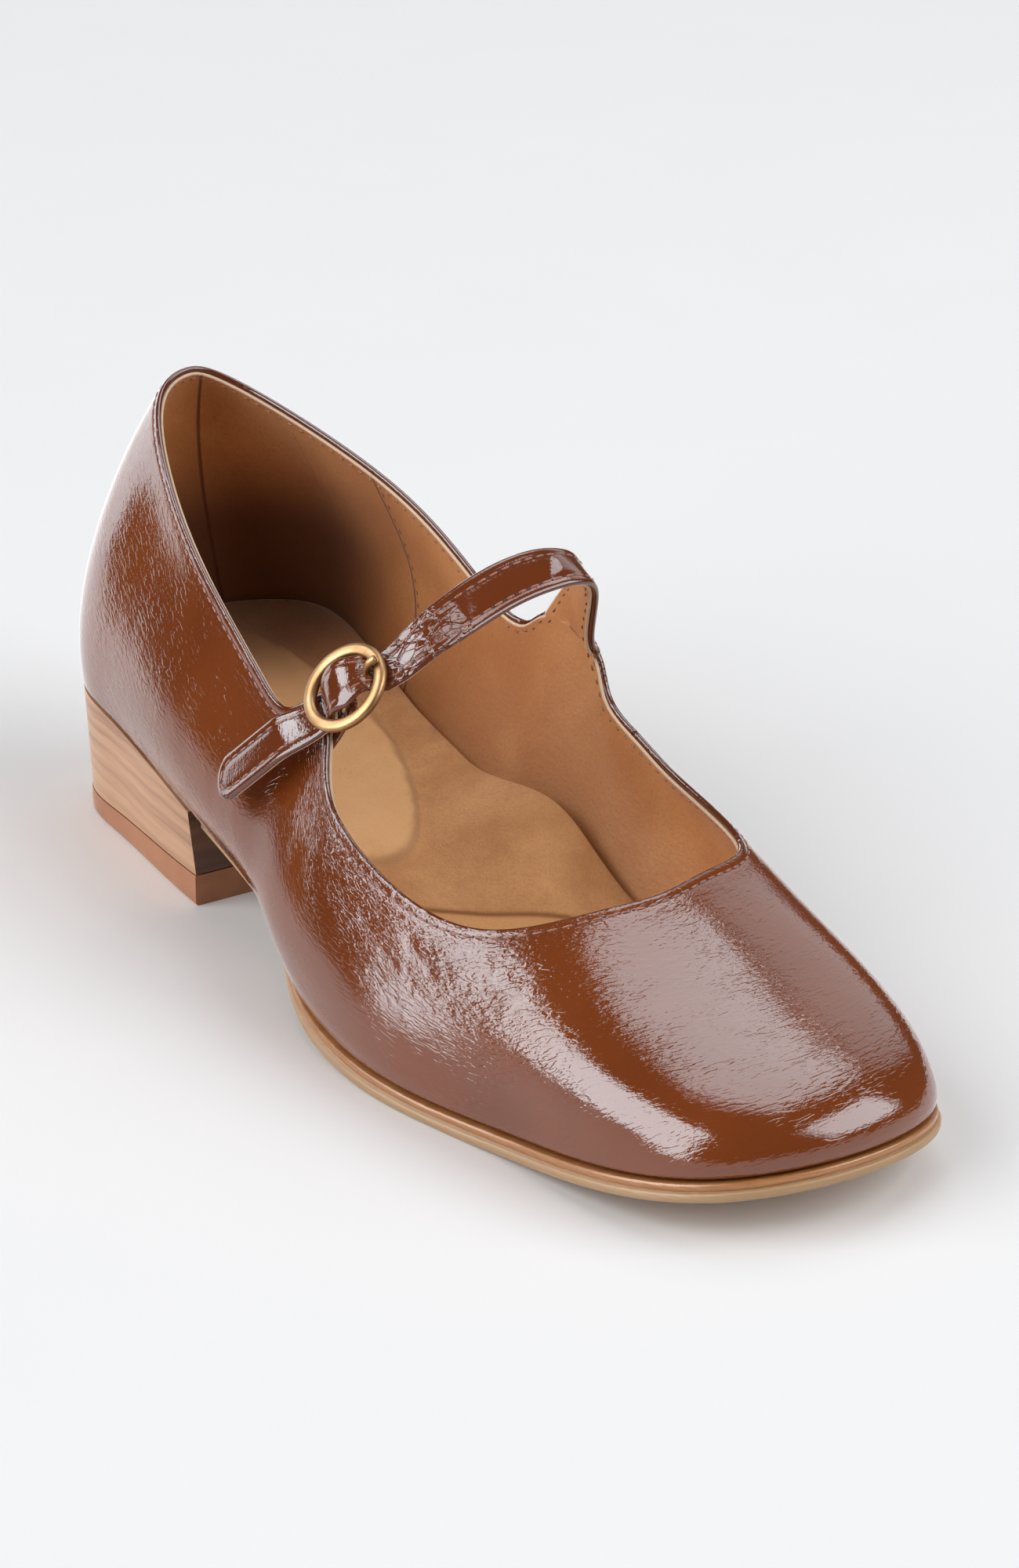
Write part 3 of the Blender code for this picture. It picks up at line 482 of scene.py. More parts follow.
def margin_rows(places):
    """The rows that turn in under the foot, round the feather edge and along the lasting margin."""
    rows = []
    turns = [
        (FEATHER_ROUNDING * (1 - math.cos(angle)), FEATHER_ROUNDING * (1 - math.sin(angle)))
        for angle in np.radians(FEATHER_TURNS)
    ]
    for inset, rise in turns + [(MARGIN_WIDTH / 2, 0), (MARGIN_WIDTH, 0)]:
        flat = outline_at(places, -inset)
        rows.append(np.column_stack([flat, seat_height(flat[:, 0]) + GAP + rise]))
    return rows


# ---- the strap

STRAP_LINE = np.stack([STRAP["station"], STRAP["side"], STRAP["height"]], 1)
STRAP_KNOTS = arc_length(STRAP_LINE)
BUCKLE_ALONG = STRAP_KNOTS[STRAP_BUCKLE_ROW]
STRAP_LENGTH = STRAP_KNOTS[-1]


def strap_frame(along):
    """The strap's middle, its direction, the direction across it and the one out of its face."""
    middle = spline(STRAP_KNOTS, STRAP_LINE, along)
    step = 0.25
    ahead = spline(STRAP_KNOTS, STRAP_LINE, np.minimum(along + step, STRAP_LENGTH))
    behind = spline(STRAP_KNOTS, STRAP_LINE, np.maximum(along - step, 0))
    direction = unit(ahead - behind)
    forwards = np.array([1.0, 0.0, 0.0])
    level = unit(forwards - direction * (direction @ forwards)[:, None])
    face = np.cross(direction, level)
    roll = np.radians(spline(STRAP_KNOTS, STRAP["roll"], along))[:, None]
    across = np.cos(roll) * level + np.sin(roll) * face
    return middle, direction, across, np.cross(direction, across)


def strap_arch(from_bar):
    """How far the strap's face rises, or dips, as it comes up through the ring and over its bar."""
    reach = np.abs(from_bar)
    half_turn = 2 * math.atan(STRAP_ARCH_RISE / STRAP_ARCH_RUN)
    both_radii = STRAP_ARCH_RUN / math.sin(half_turn)
    crown_radius = STRAP_ARCH_CROWN * both_radii
    foot_radius = both_radii - crown_radius
    crown_run = crown_radius * math.sin(half_turn)
    crown = STRAP_ARCH_RISE - crown_radius + np.sqrt(
        np.maximum(crown_radius ** 2 - np.minimum(reach, crown_run) ** 2, 0)
    )
    from_foot = np.clip(STRAP_ARCH_RUN - reach, 0, STRAP_ARCH_RUN - crown_run)
    foot = foot_radius - np.sqrt(foot_radius ** 2 - from_foot ** 2)
    arch = np.where(reach < crown_run, crown, foot)
    dip = STRAP_DIP * smooth_bump(reach - RING_RADIUS - RING_HALF_WIDTH, STRAP_DIP_FADE)
    return arch - np.where(reach < RING_RADIUS + RING_HALF_WIDTH, STRAP_DIP, dip)


def strap_points(along, lane, inset=0.0):
    """Points of the strap's outer face. Lane runs from -1 at its front edge to 1 at its rear edge."""
    middle, _, across, face = strap_frame(along)
    bulge = smooth_bump(along - BUCKLE_ALONG, STRAP_BULGE_REACH)
    half = spline(STRAP_KNOTS, STRAP["width"], along) / 2 - inset + STRAP_BULGE * bulge
    half = half[:, None]
    height = strap_arch(along - BUCKLE_ALONG + STRAP_ARCH_SHIFT)
    crowning = STRAP_CROWNING * np.maximum(height, 0) * lane ** 2
    crowned = height - crowning - STRAP_BULGE_DROP * bulge * lane ** 6
    free = smooth_step(along - BUCKLE_ALONG, *STRAP_FREE)
    crowned = crowned + STRAP_TILT * free * (1 + lane) / 2
    return middle - across * half * lane[:, None] + face * crowned[:, None]


# ---- the sheet: the outer face of upper and strap, as one open surface

Sheet = namedtuple("Sheet", "points faces uv flat border")


def to_world(points):
    """Points (station, side, height) in mm as Blender's (x, y, z) in metres."""
    points = np.asarray(points, float)
    return np.stack([
        points[..., 1] - ORIGIN_SIDE, ORIGIN_STATION - points[..., 0], points[..., 2]
    ], -1) * MM


def station_side_height(points):
    """Stations, sides and heights in mm of points of the scene."""
    points = np.array(points) / MM
    return ORIGIN_STATION - points[:, 1], points[:, 0] + ORIGIN_SIDE, points[:, 2]


def wall_places(column):
    """Places round the shoe of every strip, with the strap's root divided as the strap is."""
    places = []
    for i in range(len(UPPER_ROWS)):
        start, end = ROUNDS[i], ROUNDS[i + 1]
        if i == STRAP_FIRST_ROW:
            shares = (1 + np.sin(np.linspace(-math.pi / 2, math.pi / 2, ROOT_LANES + 1)[:-1])) / 2
            first = len(places)
        else:
            shares = np.linspace(0, 1, max(2, round((end - start) / column)), endpoint=False)
        places.extend(start + (end - start) * shares)
    return np.array(places), first


def corners(grid):
    """The values of a grid at the four corners of each of its quads, in the order that faces outwards."""
    return np.stack([grid[:-1, :-1], grid[:-1, 1:], grid[1:, 1:], grid[1:, :-1]], -1).reshape(-1, 4)


def grid_quads(rows, columns, round_rows=False, round_columns=False):
    """The quads of a grid of vertices, which may close on itself in either direction."""
    index = np.arange(rows * columns).reshape(rows, columns)
    if round_rows:
        index = np.vstack([index, index[:1]])
    if round_columns:
        index = np.hstack([index, index[:, :1]])
    return corners(index)


def rows_of_wall(curve, inset, wall_rows):
    """Points down one line of the wall, close together at the topline, and their distance from it."""
    length = arc_length(curve)
    near = inset + np.array(EDGE_STEPS)
    far = np.linspace(near[-1], length[-1], wall_rows + 1)[1:]
    down = np.concatenate([near, far])
    return np.stack([np.interp(down, length, curve[:, k]) for k in range(3)], 1), down


def wall_grid(places, inset, wall_rows):
    """The wall's points, a row for each place round the shoe, and their distance below the topline."""
    rows = [rows_of_wall(curve, inset, wall_rows) for curve in wall_curves(places)]
    wall = np.array([points for points, _ in rows])
    down = np.array([distance for _, distance in rows])
    margin = np.stack(margin_rows(places), 1)
    steps = np.linalg.norm(np.diff(np.concatenate([wall[:, -1:], margin], 1), axis=1), axis=2)
    down = np.concatenate([down, down[:, -1:] + np.cumsum(steps, 1)], 1)
    return np.concatenate([wall, margin], 1), down


def strap_grid(root, strap_step, inset):
    """The strap's points, a row for each step along it, and how far along it each one lies."""
    angles = np.linspace(-math.pi / 2, math.pi / 2, ROOT_LANES + 1)
    lanes = np.sin(angles)
    start = strap_points(np.zeros(len(lanes)), lanes, inset)
    round_end = STRAP["width"][-1] / 2 - inset
    length = STRAP_LENGTH - inset
    straight = length - STRAP_END_RUN * round_end
    lane_end = length - round_end * (1 - np.cos(angles))
    rows = []
    reached = []
    for along in np.linspace(0, length, int(length / strap_step))[1:]:
        share = max(0.0, (along - straight) / (length - straight))
        lane_along = along + (lane_end - length) * share
        points = strap_points(lane_along, lanes, inset)
        blend = max(0.0, 1 - along / STRAP_BLEND) ** 3
        rows.append(points + (root - start) * blend)
        reached.append(lane_along)
    return np.array(rows), np.array(reached), lanes


def upper_sheet(column=COLUMN, wall_rows=WALL_ROWS, strap_step=STRAP_STEP, inset=0.0):
    """The outer face of upper and strap, drawn in from its free edge by inset.

    flat holds each point's place on the unrolled sheet: the distance round the shoe, and the height
    above the topline, which is negative down the wall and positive along the strap.
    border holds the outermost vertices: the free edge in order, from the strap's rear root round the
    shoe to its front root and out round the strap, and then the inner rim of the lasting margin.
    """
    places, first = wall_places(column)
    wall, down = wall_grid(places, inset, wall_rows)
    around, rows = wall.shape[:2]
    index = np.arange(around * rows).reshape(around, rows)
    rounds = np.repeat(np.append(places, WHOLE_ROUND)[:, None], rows, 1)
    below = np.vstack([down, down[:1]])

    lane_slice = slice(first, first + ROOT_LANES + 1)
    strap, reached, lanes = strap_grid(wall[lane_slice, 0], strap_step, inset)
    strap_index = around * rows + np.arange(strap.shape[0] * len(lanes)).reshape(-1, len(lanes))
    strap_index = np.vstack([index[lane_slice, 0], strap_index])
    reached = np.vstack([np.full(len(lanes), -inset), reached])
    root_places = places[lane_slice]
    lane_places = root_places.mean() + lanes * STRAP["width"][2] / 2
    strap_rounds = lane_places + (root_places - lane_places) * np.clip(1 - reached / STRAP_BLEND, 0, 1) ** 2

    points = np.vstack([wall.reshape(-1, 3), strap.reshape(-1, 3)])
    faces = np.vstack([grid_quads(around, rows, round_rows=True), corners(strap_index)])
    uv = np.stack([
        np.vstack([corners(rounds), corners(strap_rounds)]),
        np.vstack([-corners(below), corners(reached)]),
    ], -1)
    flat = np.stack([
        np.concatenate([rounds[:-1].ravel(), strap_rounds[1:].ravel()]),
        np.concatenate([-down.ravel(), reached[1:].ravel()]),
    ], 1)
    topline = np.concatenate([index[first + ROOT_LANES:, 0], index[:first + 1, 0]])
    outline = np.concatenate([
        topline, strap_index[1:, 0], strap_index[-1, 1:-1], strap_index[:0:-1, -1],
    ])
    return Sheet(to_world(points), faces, uv, flat, (outline, index[:, -1]))


def rim_of(faces):
    """The vertices on edges that only one face has."""
    edges = np.sort(np.concatenate([faces[:, [i, (i + 1) % 4]] for i in range(4)]), 1)
    edges, count = np.unique(edges, axis=0, return_counts=True)
    return np.unique(edges[count == 1])


def vertex_normals(points, faces):
    """The way out at each vertex, the mean of its faces' by their area."""
    normals = np.zeros_like(points)
    face = np.cross(points[faces[:, 2]] - points[faces[:, 0]], points[faces[:, 3]] - points[faces[:, 1]])
    for corner in range(4):
        np.add.at(normals, faces[:, corner], face)
    return unit(normals)


def distance_to(points, targets):
    """Distance, in mm, from each point to the nearest of the targets."""
    tree = KDTree(len(targets))
    for i, target in enumerate(targets):
        tree.insert(Vector(target), i)
    tree.balance()
    return np.array([tree.find(Vector(point))[2] for point in points]) / MM


def skin(sheet, depth, thickness, edge_radius):
    """A closed layer of this thickness, depth below the sheet, with its free edges rounded.

    Returns its points, faces and corner uvs, and for each point the sheet's point that it comes from.
    """
    normals = vertex_normals(sheet.points, sheet.faces)
    rim = np.concatenate(sheet.border)
    distance = distance_to(sheet.points, sheet.points[rim])
    fullness = np.sqrt(1 - (1 - np.clip(distance / edge_radius, 0, 1)) ** 2)
    middle = sheet.points - normals * (depth + thickness / 2) * MM
    half = normals * (thickness / 2 * MM) * fullness[:, None]
    count = len(sheet.points)
    inner_index = count + np.arange(count)
    inner_index[rim] = rim
    points = np.vstack([middle + half, middle - half])
    faces = np.vstack([sheet.faces, inner_index[sheet.faces][:, ::-1]])
    uv = np.vstack([sheet.uv, sheet.uv[:, ::-1]])
    used = np.zeros(len(points), bool)
    used[faces] = True
    new_index = np.cumsum(used) - 1
    source = np.tile(np.arange(count), 2)
    return points[used], new_index[faces], uv, source[used]


# ---- slabs: soles, heel and insole

def loft(bm, loops, slots):
    """Faces between neighbouring closed loops of vertices. slots(band, i) picks each face's material."""
    for band, (lower, upper) in enumerate(zip(loops, loops[1:])):
        count = len(lower)
        for i in range(count):
            j = (i + 1) % count
            face = bm.faces.new((lower[i], lower[j], upper[j], upper[i]))
            face.material_index = slots(band, i)


def slab(outlines, cuts, side_cuts=(), slots=lambda band, i: 0, end_slots=(0, 0), slanted=()):
    """A closed solid through outlines of (station, side, height), its two ends filled.

    Its ends are divided at the stations in cuts and the sides in side_cuts, so that they can bend,
    and along the lines in slanted, each a station on the middle line and a slant.
    """
    bm = bmesh.new()
    loops = [[bm.verts.new(point) for point in to_world(outline)] for outline in outlines]
    loft(bm, loops, slots)
    bm.faces.new(list(reversed(loops[0]))).material_index = end_slots[0]
    bm.faces.new(loops[-1]).material_index = end_slots[1]
    planes = [((0, (ORIGIN_STATION - cut) * MM, 0), (0, 1, 0)) for cut in cuts]
    planes += [(((cut - ORIGIN_SIDE) * MM, 0, 0), (1, 0, 0)) for cut in side_cuts]
    for cut, slant in slanted:
        middle = (-ORIGIN_SIDE * MM, (ORIGIN_STATION - cut) * MM, 0)
        planes.append((middle, Vector((slant, 1, 0)).normalized()))
    for point, normal in planes:
        everything = bm.verts[:] + bm.edges[:] + bm.faces[:]
        bmesh.ops.bisect_plane(
            bm, geom=everything, dist=CUT_MERGE * MM, plane_co=point, plane_no=normal
        )
    return bm


def bend(bm, height_at):
    """Moves every vertex to height_at(stations, sides, its own height), all in mm."""
    heights = height_at(*station_side_height([vert.co for vert in bm.verts]))
    for vert, height in zip(bm.verts, heights):
        vert.co.z = height * MM


def finish_slab(name, bm, materials, node, sharp_angle=40):
    """Makes the slab a piece that stands for a node. Edges sharper than the angle stay crisp."""
    bmesh.ops.triangulate(bm, faces=[face for face in bm.faces if len(face.verts) > 4])
    bmesh.ops.recalc_face_normals(bm, faces=bm.faces)
    mesh = bpy.data.meshes.new(name)
    bm.to_mesh(mesh)
    bm.free()
    piece = finish_piece(name, mesh, materials, sharp_angle)
    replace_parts(piece, node)
    return piece


# ---- rods and beads

# A rod's ends: how far out each step lies, in radii of the rod, and how wide it is.
ROUND_END = ((0.25, 0.9), (0.45, 0.6))
FLAT_END = ((0.12, 0.86),)
BEAD_FULLNESS = 0.6  # 1 is an ellipse, and less makes a bead's ends blunter


def rod(line, diameter, end_steps=ROUND_END, sides=16):
    """A closed round rod along a line of points, all in mm. The line doesn't run along Y."""
    line = np.asarray(line, float)
    along = unit(np.gradient(line, axis=0))
    across = unit(np.cross(np.cross(along, (0, 1.0, 0)), along))
    out = np.cross(along, across)
    angles = np.linspace(0, 2 * math.pi, sides, endpoint=False)
    ring = np.cos(angles)[None, :, None] * across[:, None] * diameter / 2
    ring = ring + np.sin(angles)[None, :, None] * out[:, None] * diameter / 2
    first = [line[0] - along[0] * diameter / 2 * far + ring[0] * size for far, size in end_steps]
    last = [line[-1] + along[-1] * diameter / 2 * far + ring[-1] * size for far, size in end_steps]
    points = np.concatenate([first[::-1], line[:, None] + ring, last]).reshape(-1, 3)
    faces = grid_quads(len(points) // sides, sides, round_columns=True)[:, ::-1].tolist()
    ends = [list(range(sides)), list(range(len(points) - 1, len(points) - 1 - sides, -1))]
    return points, faces + ends


def bead(length, width, height, rings=7, sides=8):
    """A closed grain-shaped bead along X, for a stitch. Returns points and faces."""
    share = np.linspace(0, math.pi, rings + 2)[1:-1]
    x = -np.cos(share) * length / 2
    size = np.sin(share) ** BEAD_FULLNESS
    angles = np.linspace(0, 2 * math.pi, sides, endpoint=False)
    points = [(-length / 2, 0, 0)]
    for ahead, scale in zip(x, size):
        points += [
            (ahead, math.cos(a) * width / 2 * scale, math.sin(a) * height / 2 * scale) for a in angles
        ]
    points.append((length / 2, 0, 0))
    last = len(points) - 1
    faces = []
    for i in range(sides):
        j = (i + 1) % sides
        faces.append((0, 1 + j, 1 + i))
        faces.append((last, last - sides + i, last - sides + j))
        for ring in range(rings - 1):
            low = 1 + ring * sides
            faces.append((low + i, low + j, low + sides + j, low + sides + i))
    return np.array(points), faces


def many(template, frames):
    """One joined mesh of a template set at each frame of (place, along, across, out)."""
    shape, shape_faces = template
    points = []
    faces = []
    for place, along, across, out in frames:
        start = len(points) * len(shape)
        points.append(place + shape[:, :1] * along + shape[:, 1:2] * across + shape[:, 2:] * out)
        faces += [[start + i for i in face] for face in shape_faces]
    return np.vstack(points), faces


# ---- stitches

def closed_places(points, pitch):
    """Evenly spaced points on a closed line, as near to this pitch as goes into it."""
    points = np.vstack([points, points[:1]])
    length = arc_length(points)
    where = np.linspace(0, length[-1], round(length[-1] / pitch), endpoint=False)
    return np.stack([np.interp(where, length, points[:, k]) for k in range(3)], 1)


def surface_of(sheet):
    """The sheet as a surface that finds its own nearest point to any place."""
    return BVHTree.FromPolygons(
        [tuple(point) for point in sheet.points], [tuple(face) for face in sheet.faces.tolist()]
    )


def inset_line(sheet, surface, inset):
    """A closed line on the sheet that runs this far, in mm, inside its free edge."""
    edge = closed_places(sheet.points[sheet.border[0]], EDGE_SPACING * MM)
    along = unit(np.roll(edge, -2, 0) - np.roll(edge, 2, 0))
    out = np.array([surface.find_nearest(Vector(point))[1] for point in edge])
    inwards = unit(np.cross(along, out))
    line = np.array([surface.find_nearest(Vector(p))[0] for p in edge + inwards * inset * MM])
    crowded = 0.93 * inset  # points nearer an edge than this lie in the inside of a corner
    return line[distance_to(line, edge) > crowded]


def stitch_frame(place, out, ahead, depth):
    """A stitch's place at this depth below the sheet, and its three directions."""
    place, out = np.array(place), np.array(out)
    ahead = unit(ahead - out * (ahead @ out))
    return place - out * depth * MM, ahead * MM, np.cross(out, ahead) * MM, out * MM


def edge_frames(sheet, depth):
    """Where each stitch along the free edge lies, at this depth below the sheet."""
    surface = surface_of(sheet)
    line = closed_places(inset_line(sheet, surface, STITCH_INSET), STITCH_PITCH * MM)
    along = unit(np.roll(line, -1, 0) - np.roll(line, 1, 0))
    return [
        stitch_frame(place, surface.find_nearest(Vector(place))[1], ahead, depth)
        for place, ahead in zip(line, along)
    ]


def make_stitches(name, frames, thread, length, width, slot_name="patent_leather"):
    """A row of stitches, one at each frame."""
    points, faces = many(bead(length, width, width), frames)
    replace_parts(add_piece(name, points, faces, [thread]), "upper")


def make_needle_holes(frames, dark):
    """The dark dents between stitches, where the thread goes in: painted shade in the needle holes."""
    between = []
    for (first, *axes), (second, *_) in zip(frames, frames[1:] + frames[:1]):
        if np.linalg.norm(second - first) < 2 * STITCH_PITCH * MM:
            between.append(((first + second) / 2, *axes))
    points, faces = many(bead(*NEEDLE_HOLE, rings=4, sides=7), between)
    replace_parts(add_piece("needle_holes", points, faces, [dark]), "upper")


# ---- creases and seams, on the unrolled sheet

def line_distance(flat, start, end):
    """Signed distance from the line through two places on a plane, and the way along it, 0 to 1."""
    start = np.array(start, float)
    run = np.array(end, float) - start
    length = np.linalg.norm(run)
    run = run / length
    away = flat - start
    return away[:, 0] * run[1] - away[:, 1] * run[0], (away @ run) / length


def crease_depth(flat, start, end, depth, width):
    """A soft trough from start to end, deepest in its middle third. A negative depth is a ridge."""
    across, along = line_distance(flat, start, end)
    ends = smooth_step(along, 0, 0.3) * smooth_step(1 - along, 0, 0.3)
    return depth * np.exp(-(across / width) ** 2) * ends


# ---- from arrays to Blender

def add_piece(name, points, faces, materials, uv=None, sharp_angle=None):
    """An object of this mesh that rides on the shoe. uv gives each corner's place in mm."""
    mesh = bpy.data.meshes.new(name)
    mesh.from_pydata([tuple(point) for point in points], [], [tuple(face) for face in faces])
    if uv is not None:
        layer = mesh.uv_layers.new(name="UVMap")
        layer.data.foreach_set("uv", np.asarray(uv, np.float32).reshape(-1) * MM)
    return finish_piece(name, mesh, materials, sharp_angle)


def finish_piece(name, mesh, materials, sharp_angle=None):
    """Puts a mesh in the scene, shaded smooth, and lets it ride on the shoe."""
    for made in materials:
        mesh.materials.append(made)
    mesh.shade_smooth()
    if sharp_angle is not None:
        mesh.set_sharp_from_angle(angle=math.radians(sharp_angle))
    mesh.update()
    piece = bpy.data.objects.new(name, mesh)
    bpy.context.scene.collection.objects.link(piece)
    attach(piece, "root")
    return piece


def add_numbers(piece, source, **numbers):
    """Stores numbers for the materials to read by name. source picks each vertex's value."""
    for name, values in numbers.items():
        attribute = piece.data.attributes.new(name, "FLOAT", "POINT")
        attribute.data.foreach_set("value", np.asarray(values, np.float32)[source])


# ---- materials

class Nodes:
    """Short names for building the node tree of one new material, or of a world."""

    def __init__(self, name, kind="materials"):
        self.owner = getattr(bpy.data, kind).new(name)
        self.owner.use_nodes = True
        self.tree = self.owner.node_tree

    def add(self, kind, inputs=None, **settings):
        """A new shader node with these inputs, by name or number, and these settings."""
        node = self.tree.nodes.new("ShaderNode" + kind)
        for key, value in settings.items():
            setattr(node, key, value)
        for key, value in (inputs or {}).items():
            self.put(node.inputs[key], value)
        return node

    def put(self, socket, value):
        """Links the socket to an output, or sets it to a value."""
        if isinstance(value, bpy.types.NodeSocket):
            self.tree.links.new(value, socket)
        elif isinstance(value, tuple) and len(value) == 3 and socket.type == "RGBA":
            socket.default_value = (*value, 1)
        else:
            socket.default_value = value

    def math(self, operation, first, second=0.0):
        return self.add("Math", {0: first, 1: second}, operation=operation).outputs[0]

    def times(self, first, second):
        return self.math("MULTIPLY", first, second)

    def total(self, *values):
        """The sum of several numbers."""
        result = values[0]
        for value in values[1:]:
            result = self.math("ADD", result, value)
        return result

    def mix(self, share, first, second):
        """A colour between first and second."""
        return self.add("Mix", {0: share, 6: first, 7: second}, data_type="RGBA").outputs[2]

    def step(self, value, low, high, from_value=0.0, to_value=1.0):
        """from_value below low, to_value above high and a soft change between."""
        inputs = dict(enumerate((value, low, high, from_value, to_value)))
        return self.add("MapRange", inputs, interpolation_type="SMOOTHSTEP").outputs[0]

    def number(self, name):
        """A number stored on the mesh's vertices."""
        return self.add("Attribute", attribute_name=name).outputs["Fac"]

    def place(self, source, scale=(1, 1, 1), turn=(0, 0, 0)):
        """Texture coordinates in millimetres, from the unrolled sheet (UV) or from space (Object)."""
        coordinates = self.add("TexCoord").outputs[source]
        scale = tuple(value / MM for value in scale)
        node = self.add("Mapping", {"Vector": coordinates, "Rotation": turn, "Scale": scale})
        return node.outputs[0]

    def noise(self, place, scale=1.0, detail=2.0, roughness=0.5, distortion=0.0):
        """Cloudy noise from 0 to 1, with 0.5 as its middle."""
        inputs = {"Vector": place, "Scale": scale, "Detail": detail, "Roughness": roughness}
        return self.add("TexNoise", inputs | {"Distortion": distortion}).outputs["Fac"]

    def cells(self, place, scale=1.0, feature="F1"):
        """Distance from the nearest cell's middle or, with DISTANCE_TO_EDGE, from its edge."""
        node = self.add("TexVoronoi", {"Vector": place, "Scale": scale}, feature=feature)
        return node.outputs["Distance"]

    def bump(self, height):
        """Relief from a height in millimetres."""
        return self.add("Bump", {"Height": height, "Distance": MM, "Strength": 1.0}).outputs[0]

    def set(self, colour, roughness, normal=None, **inputs):
        """Sets the shader's colour, its roughness and whatever else is given, and returns the material."""
        inputs.update(Base_Color=colour, Roughness=roughness)
        if normal is not None:
            inputs["Normal"] = normal
        shader = self.tree.nodes["Principled BSDF"]
        for key, value in inputs.items():
            self.put(shader.inputs[key.replace("_", " ")], value)
        return self.owner


def make_patent():
    """Crinkled patent leather: brown below a clear, glossy coat that shows every wrinkle."""
    n = Nodes("patent_leather")
    edge = n.number("edge")
    crinkle = n.number("crinkle")
    crumple = n.number("crumple")
    drift = n.noise(n.place("UV", (0.03, 0.03, 1)))
    wander = n.noise(n.place("UV", (0.13, 0.13, 1)))
    strokes = n.noise(n.place("UV", (0.38, 1.1, 1)), detail=1.0, distortion=0.25)
    folds = n.noise(n.place("UV", (0.2, 0.45, 1)), detail=1.0, distortion=0.3)
    grain = n.noise(n.place("UV", (1.1, 1.9, 1)), roughness=0.6, distortion=0.3)
    veins = n.cells(n.place("UV", (0.27, 0.17, 1)), feature="DISTANCE_TO_EDGE")
    small_veins = n.cells(n.place("UV", (0.6, 0.32, 1)), feature="DISTANCE_TO_EDGE")
    puff = n.noise(n.place("UV", (0.24, 0.17, 1)), detail=0.0)
    amount = n.times(crinkle, n.step(wander, 0.3, 0.7, 0.3, 1.4))
    plateaus = n.step(strokes, 0.42, 0.58)
    wrinkled = n.total(n.times(plateaus, 0.11), n.times(strokes, 0.05), n.times(folds, 0.05))
    cracked = n.total(
        n.step(veins, 0.0, 0.1, -0.24, 0.0), n.step(small_veins, 0.0, 0.1, -0.08, 0.0),
        n.times(puff, 0.4),
    )
    seam = n.number("seam")
    groove = n.step(n.math("ABSOLUTE", seam), 0.0, 0.35, -0.22, 0.0)
    ridge = n.step(n.math("ABSOLUTE", n.math("SUBTRACT", seam, 0.75)), 0.0, 0.6, 0.12, 0.0)
    normal = n.bump(n.total(
        n.times(amount, wrinkled), n.times(grain, n.total(0.03, n.times(crinkle, 0.07))),
        n.times(cracked, crumple), groove, ridge,
    ))

    brown = n.mix(n.step(drift, 0.3, 0.7), BROWN_DEEP, BROWN)
    brown = n.mix(n.number("on_strap"), brown, BROWN_STRAP)
    brown = n.mix(n.step(edge, 0.2, 1.1), BROWN_FOLD, brown)
    in_groove = n.step(n.math("ABSOLUTE", seam), 0.1, 0.5)
    return n.set(
        n.mix(in_groove, BROWN_SHADOW, brown), 0.5, normal, Specular_IOR_Level=0.0,
        Coat_Weight=1.0, Coat_Roughness=0.045, Coat_IOR=1.6, Coat_Normal=normal,
    )


def make_lining():
    """Tan calf lining, with its pale raw edge."""
    n = Nodes("lining_leather")
    edge = n.number("edge")
    space = n.place("Object")
    cloud = n.noise(space, scale=0.045, detail=3.0)
    fine = n.noise(space, scale=1.4, detail=4.0, roughness=0.65)
    wrinkle = n.noise(n.place("UV", (0.45, 0.9, 1)), distortion=0.3)
    tan = n.mix(n.step(cloud, 0.3, 0.7), *TAN)
    tan = n.mix(n.step(fine, 0.35, 0.75, 0.0, 0.3), tan, TAN_SPECK)
    # painted shade in the heel's depth
    tan = n.mix(n.number("worn"), tan, TAN_PAINTED_SHADE)
    seam = n.math("ABSOLUTE", n.number("seam"))
    tan = n.mix(n.step(seam, 0.15, 0.6, 0.75, 0.0), tan, TAN_SEAM)
    colour = n.mix(n.step(edge, 0.25, 0.6), RAW_EDGE, tan)
    groove = n.step(seam, 0.0, 0.7, -0.3, 0.0)
    relief = n.total(n.times(fine, 0.1), n.times(wrinkle, 0.09), groove)
    return n.set(
        colour, 0.62, n.bump(relief), Specular_IOR_Level=0.35, Sheen_Weight=0.1, Sheen_Roughness=0.5,
    )


def make_suede():
    """The insole: napped suede, a smooth heel pad and, in front of the sock, bare leather board."""
    n = Nodes("insole_suede")
    pad = n.number("pad")
    sock = n.number("sock")
    space = n.place("Object")
    cloud = n.noise(space, scale=0.055, detail=4.0, roughness=0.6)
    nap = n.noise(n.place("Object", (2.4, 1.3, 1.6), turn=(0, 0, 0.5)), detail=5.0, roughness=0.72)
    fleck = n.noise(space, scale=2.6)
    suede = n.mix(n.step(cloud, 0.3, 0.7), *SUEDE)
    suede = n.mix(n.step(nap, 0.4, 0.75, 0.0, 0.38), suede, SUEDE_NAP)
    smooth = n.mix(n.step(cloud, 0.3, 0.7), *PAD)
    smooth = n.mix(n.step(fleck, 0.62, 0.75, 0.0, 0.4), smooth, PAD_FLECK)
    board = n.mix(n.step(fleck, 0.4, 0.7, 0.0, 0.3), BOARD, BOARD_FLECK)
    colour = n.mix(pad, suede, smooth)
    colour = n.mix(sock, board, colour)
    # darker along the heel pad's rim and the sock's end
    rim = n.times(n.step(pad, 0.02, 0.4), n.step(pad, 0.98, 0.5))
    end = n.times(n.step(sock, 0.02, 0.4), n.step(sock, 0.98, 0.5))
    darker_at_steps = n.math("MAXIMUM", n.times(rim, 0.35), n.times(end, 0.6))
    colour = n.mix(darker_at_steps, colour, SUEDE_STEP_DARK)
    # painted shade towards the heel
    colour = n.mix(n.number("worn"), colour, SUEDE_PAINTED_SHADE)
    rough = n.times(n.math("SUBTRACT", 1.25, pad), sock)
    relief = n.total(n.times(n.times(nap, rough), 0.22), n.times(fleck, 0.02))
    return n.set(
        colour, 0.85, n.bump(relief), Specular_IOR_Level=0.2, Sheen_Weight=0.3, Sheen_Roughness=0.4,
    )


